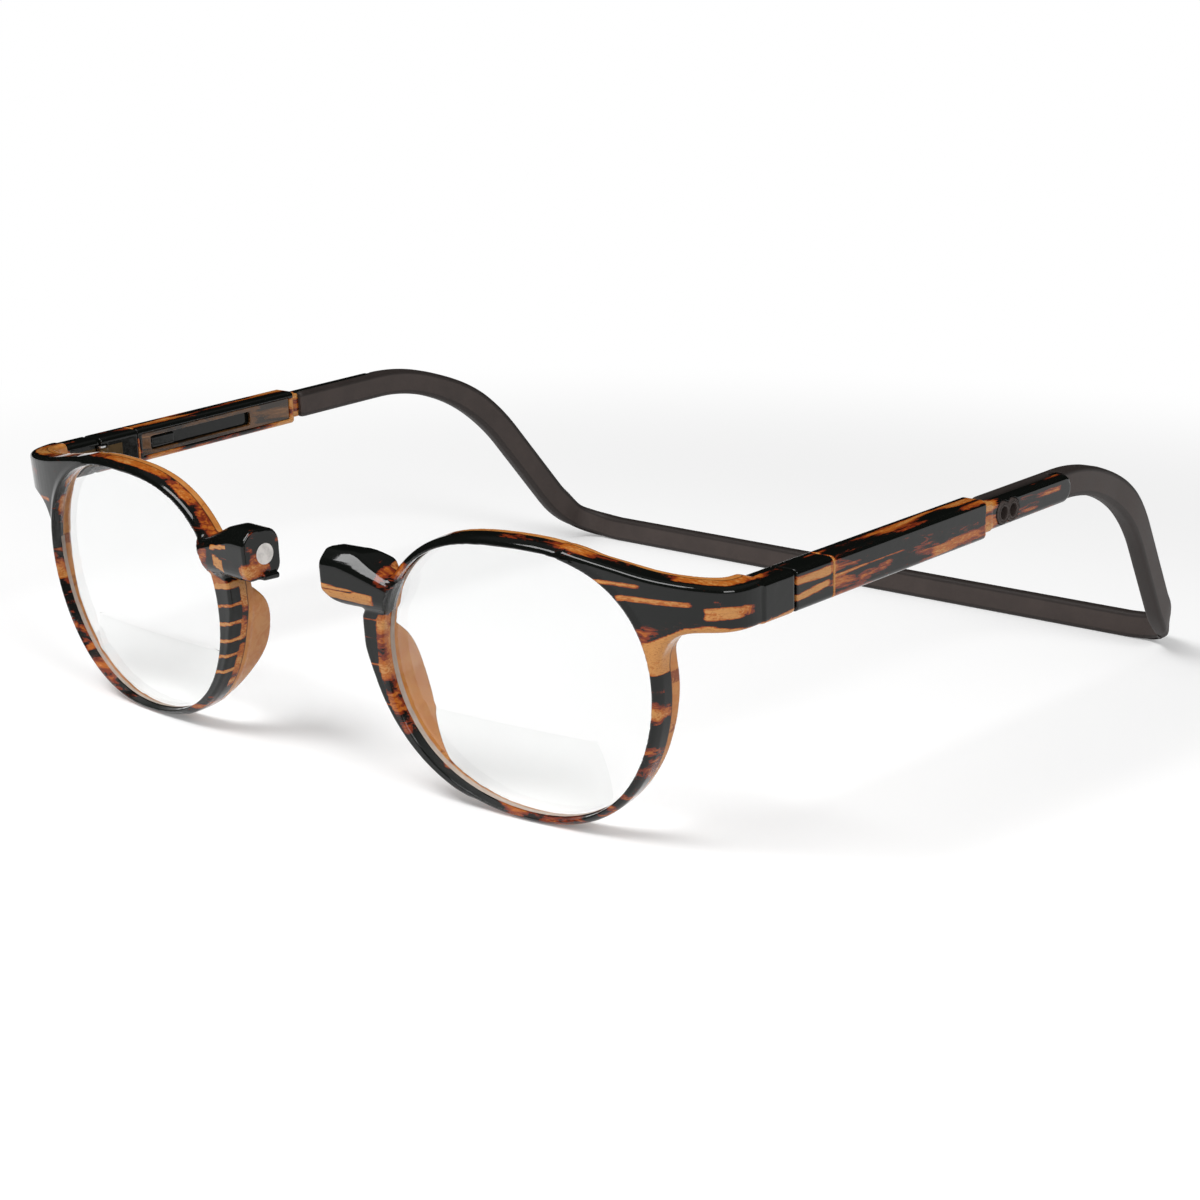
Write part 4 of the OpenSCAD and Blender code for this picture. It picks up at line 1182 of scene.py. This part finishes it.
def white_floor():
    """Pale floor that keeps the shadow near the object and glows plain white farther out"""
    nodes = MaterialNodes("white floor")
    path = nodes.add("LightPath").outputs
    seen = nodes.calc("MAXIMUM", path["Is Camera Ray"], path["Is Glossy Ray"])
    seen = nodes.calc("MAXIMUM", seen, path["Is Transmission Ray"])
    reach = nodes.add("VectorMath", {0: nodes.place}, operation="LENGTH").outputs["Value"]
    fade = nodes.times(nodes.step(reach, FADE_START, FADE_END), seen)
    return nodes.finish({
        "Base Color": nodes.mix(fade, (0.8, 0.8, 0.8, 1), (0, 0, 0, 1)), "Roughness": 1.0,
        "Specular IOR Level": 0.0, "Emission Color": (1, 1, 1, 1),
        "Emission Strength": nodes.times_plus(fade, 0.8, nodes.times(seen, 0.2))})


def studio_room(level):
    """Even light from all round, seen as plain white, with a darker ceiling in reflections"""
    world = bpy.data.worlds.new("studio room")
    world.use_nodes = True
    nodes = Nodes(world.node_tree)
    nodes.tree.nodes.clear()
    path = nodes.add("LightPath").outputs
    seen = nodes.calc("MAXIMUM", path["Is Camera Ray"], path["Is Transmission Ray"])
    direction = nodes.add("SeparateXYZ", {0: nodes.add("TexCoord").outputs["Generated"]})
    ceiling = nodes.step(direction.outputs["Z"], 0.35, 0.8)
    mirrored = nodes.times(path["Is Glossy Ray"], nodes.times_plus(ceiling, -0.6, 0.85))
    light = nodes.less(nodes.times_plus(seen, 1.0 - level, level), mirrored)
    room = nodes.add("Background", {"Color": (1, 1, 1, 1), "Strength": nodes.calc("MAXIMUM", light, 0.0)})
    nodes.add("OutputWorld", {0: room.outputs[0]})
    return world


class GLASSES_OT_stage(bpy.types.Operator):
    """Plain white floor, even room light, two lamps and the camera"""
    bl_idname = "glasses.stage"
    bl_label = "Stage"

    def execute(self, context):
        settings, scene = context.scene.glasses, context.scene
        mesh = bpy.data.meshes.new("floor")
        corners = [(x * FLOOR_HALF, y * FLOOR_HALF, 0) for x, y in ((-1, -1), (1, -1), (1, 1), (-1, 1))]
        mesh.from_pydata(corners, [], [(0, 1, 2, 3)])
        mesh.materials.append(white_floor())
        floor = bpy.data.objects.new("floor", mesh)
        scene.collection.objects.link(floor)
        scene.world = studio_room(settings.sky_level)

        for name, (place, size, factor) in LAMPS.items():
            lamp = bpy.data.lights.new(name, "AREA")
            lamp.shape = "RECTANGLE"
            lamp.size, lamp.size_y = size
            lamp.energy = settings.key_power * factor
            obj = bpy.data.objects.new(name, lamp)
            obj.location = place
            obj.rotation_euler = (LAMP_AIM - Vector(place)).to_track_quat("-Z", "Y").to_euler()
            scene.collection.objects.link(obj)

        camera = bpy.data.cameras.new("camera")
        camera.lens, camera.sensor_width, camera.clip_start = FOCAL_LENGTH, 36, 0.01
        obj = bpy.data.objects.new("camera", camera)
        turn = (Matrix.Rotation(AZIMUTH, 4, "Z") @ Matrix.Rotation(pi / 2 - ELEVATION, 4, "X")
                @ Matrix.Rotation(ROLL, 4, "Z"))
        aim = Matrix.Translation(Vector(CAMERA_AIM) * MM)
        obj.matrix_world = aim @ turn @ Matrix.Translation((0, 0, CAMERA_DISTANCE))
        scene.collection.objects.link(obj)
        scene.camera = obj
        scene.view_settings.view_transform = "Standard"
        return {"FINISHED"}


class GLASSES_PT_panel(bpy.types.Panel):
    """Lists the steps that dress the glasses"""
    bl_idname = "GLASSES_PT_panel"
    bl_label = "Bifocal glasses"
    bl_space_type = "VIEW_3D"
    bl_region_type = "UI"
    bl_category = "Glasses"

    def draw(self, context):
        settings = context.scene.glasses
        for key in settings.bl_rna.properties.keys():
            if key not in ("rna_type", "name"):
                self.layout.prop(settings, key)
        for operator in OPERATORS:
            self.layout.operator(operator.bl_idname)


OPERATORS = (GLASSES_OT_half_fronts, GLASSES_OT_lenses, GLASSES_OT_temples, GLASSES_OT_sliders,
             GLASSES_OT_neckband, GLASSES_OT_metal, GLASSES_OT_stage)
CLASSES = (GlassesSettings, *OPERATORS, GLASSES_PT_panel)


def register():
    for cls in CLASSES:
        bpy.utils.register_class(cls)
    bpy.types.Scene.glasses = bpy.props.PointerProperty(type=GlassesSettings)


def unregister():
    del bpy.types.Scene.glasses
    for cls in reversed(CLASSES):
        bpy.utils.unregister_class(cls)


def main():
    register()
    bpy.ops.glasses.half_fronts()
    bpy.ops.glasses.lenses()
    bpy.ops.glasses.temples()
    bpy.ops.glasses.sliders()
    bpy.ops.glasses.neckband()
    bpy.ops.glasses.metal()
    bpy.ops.glasses.stage()


if __name__ == "__main__":
    main()
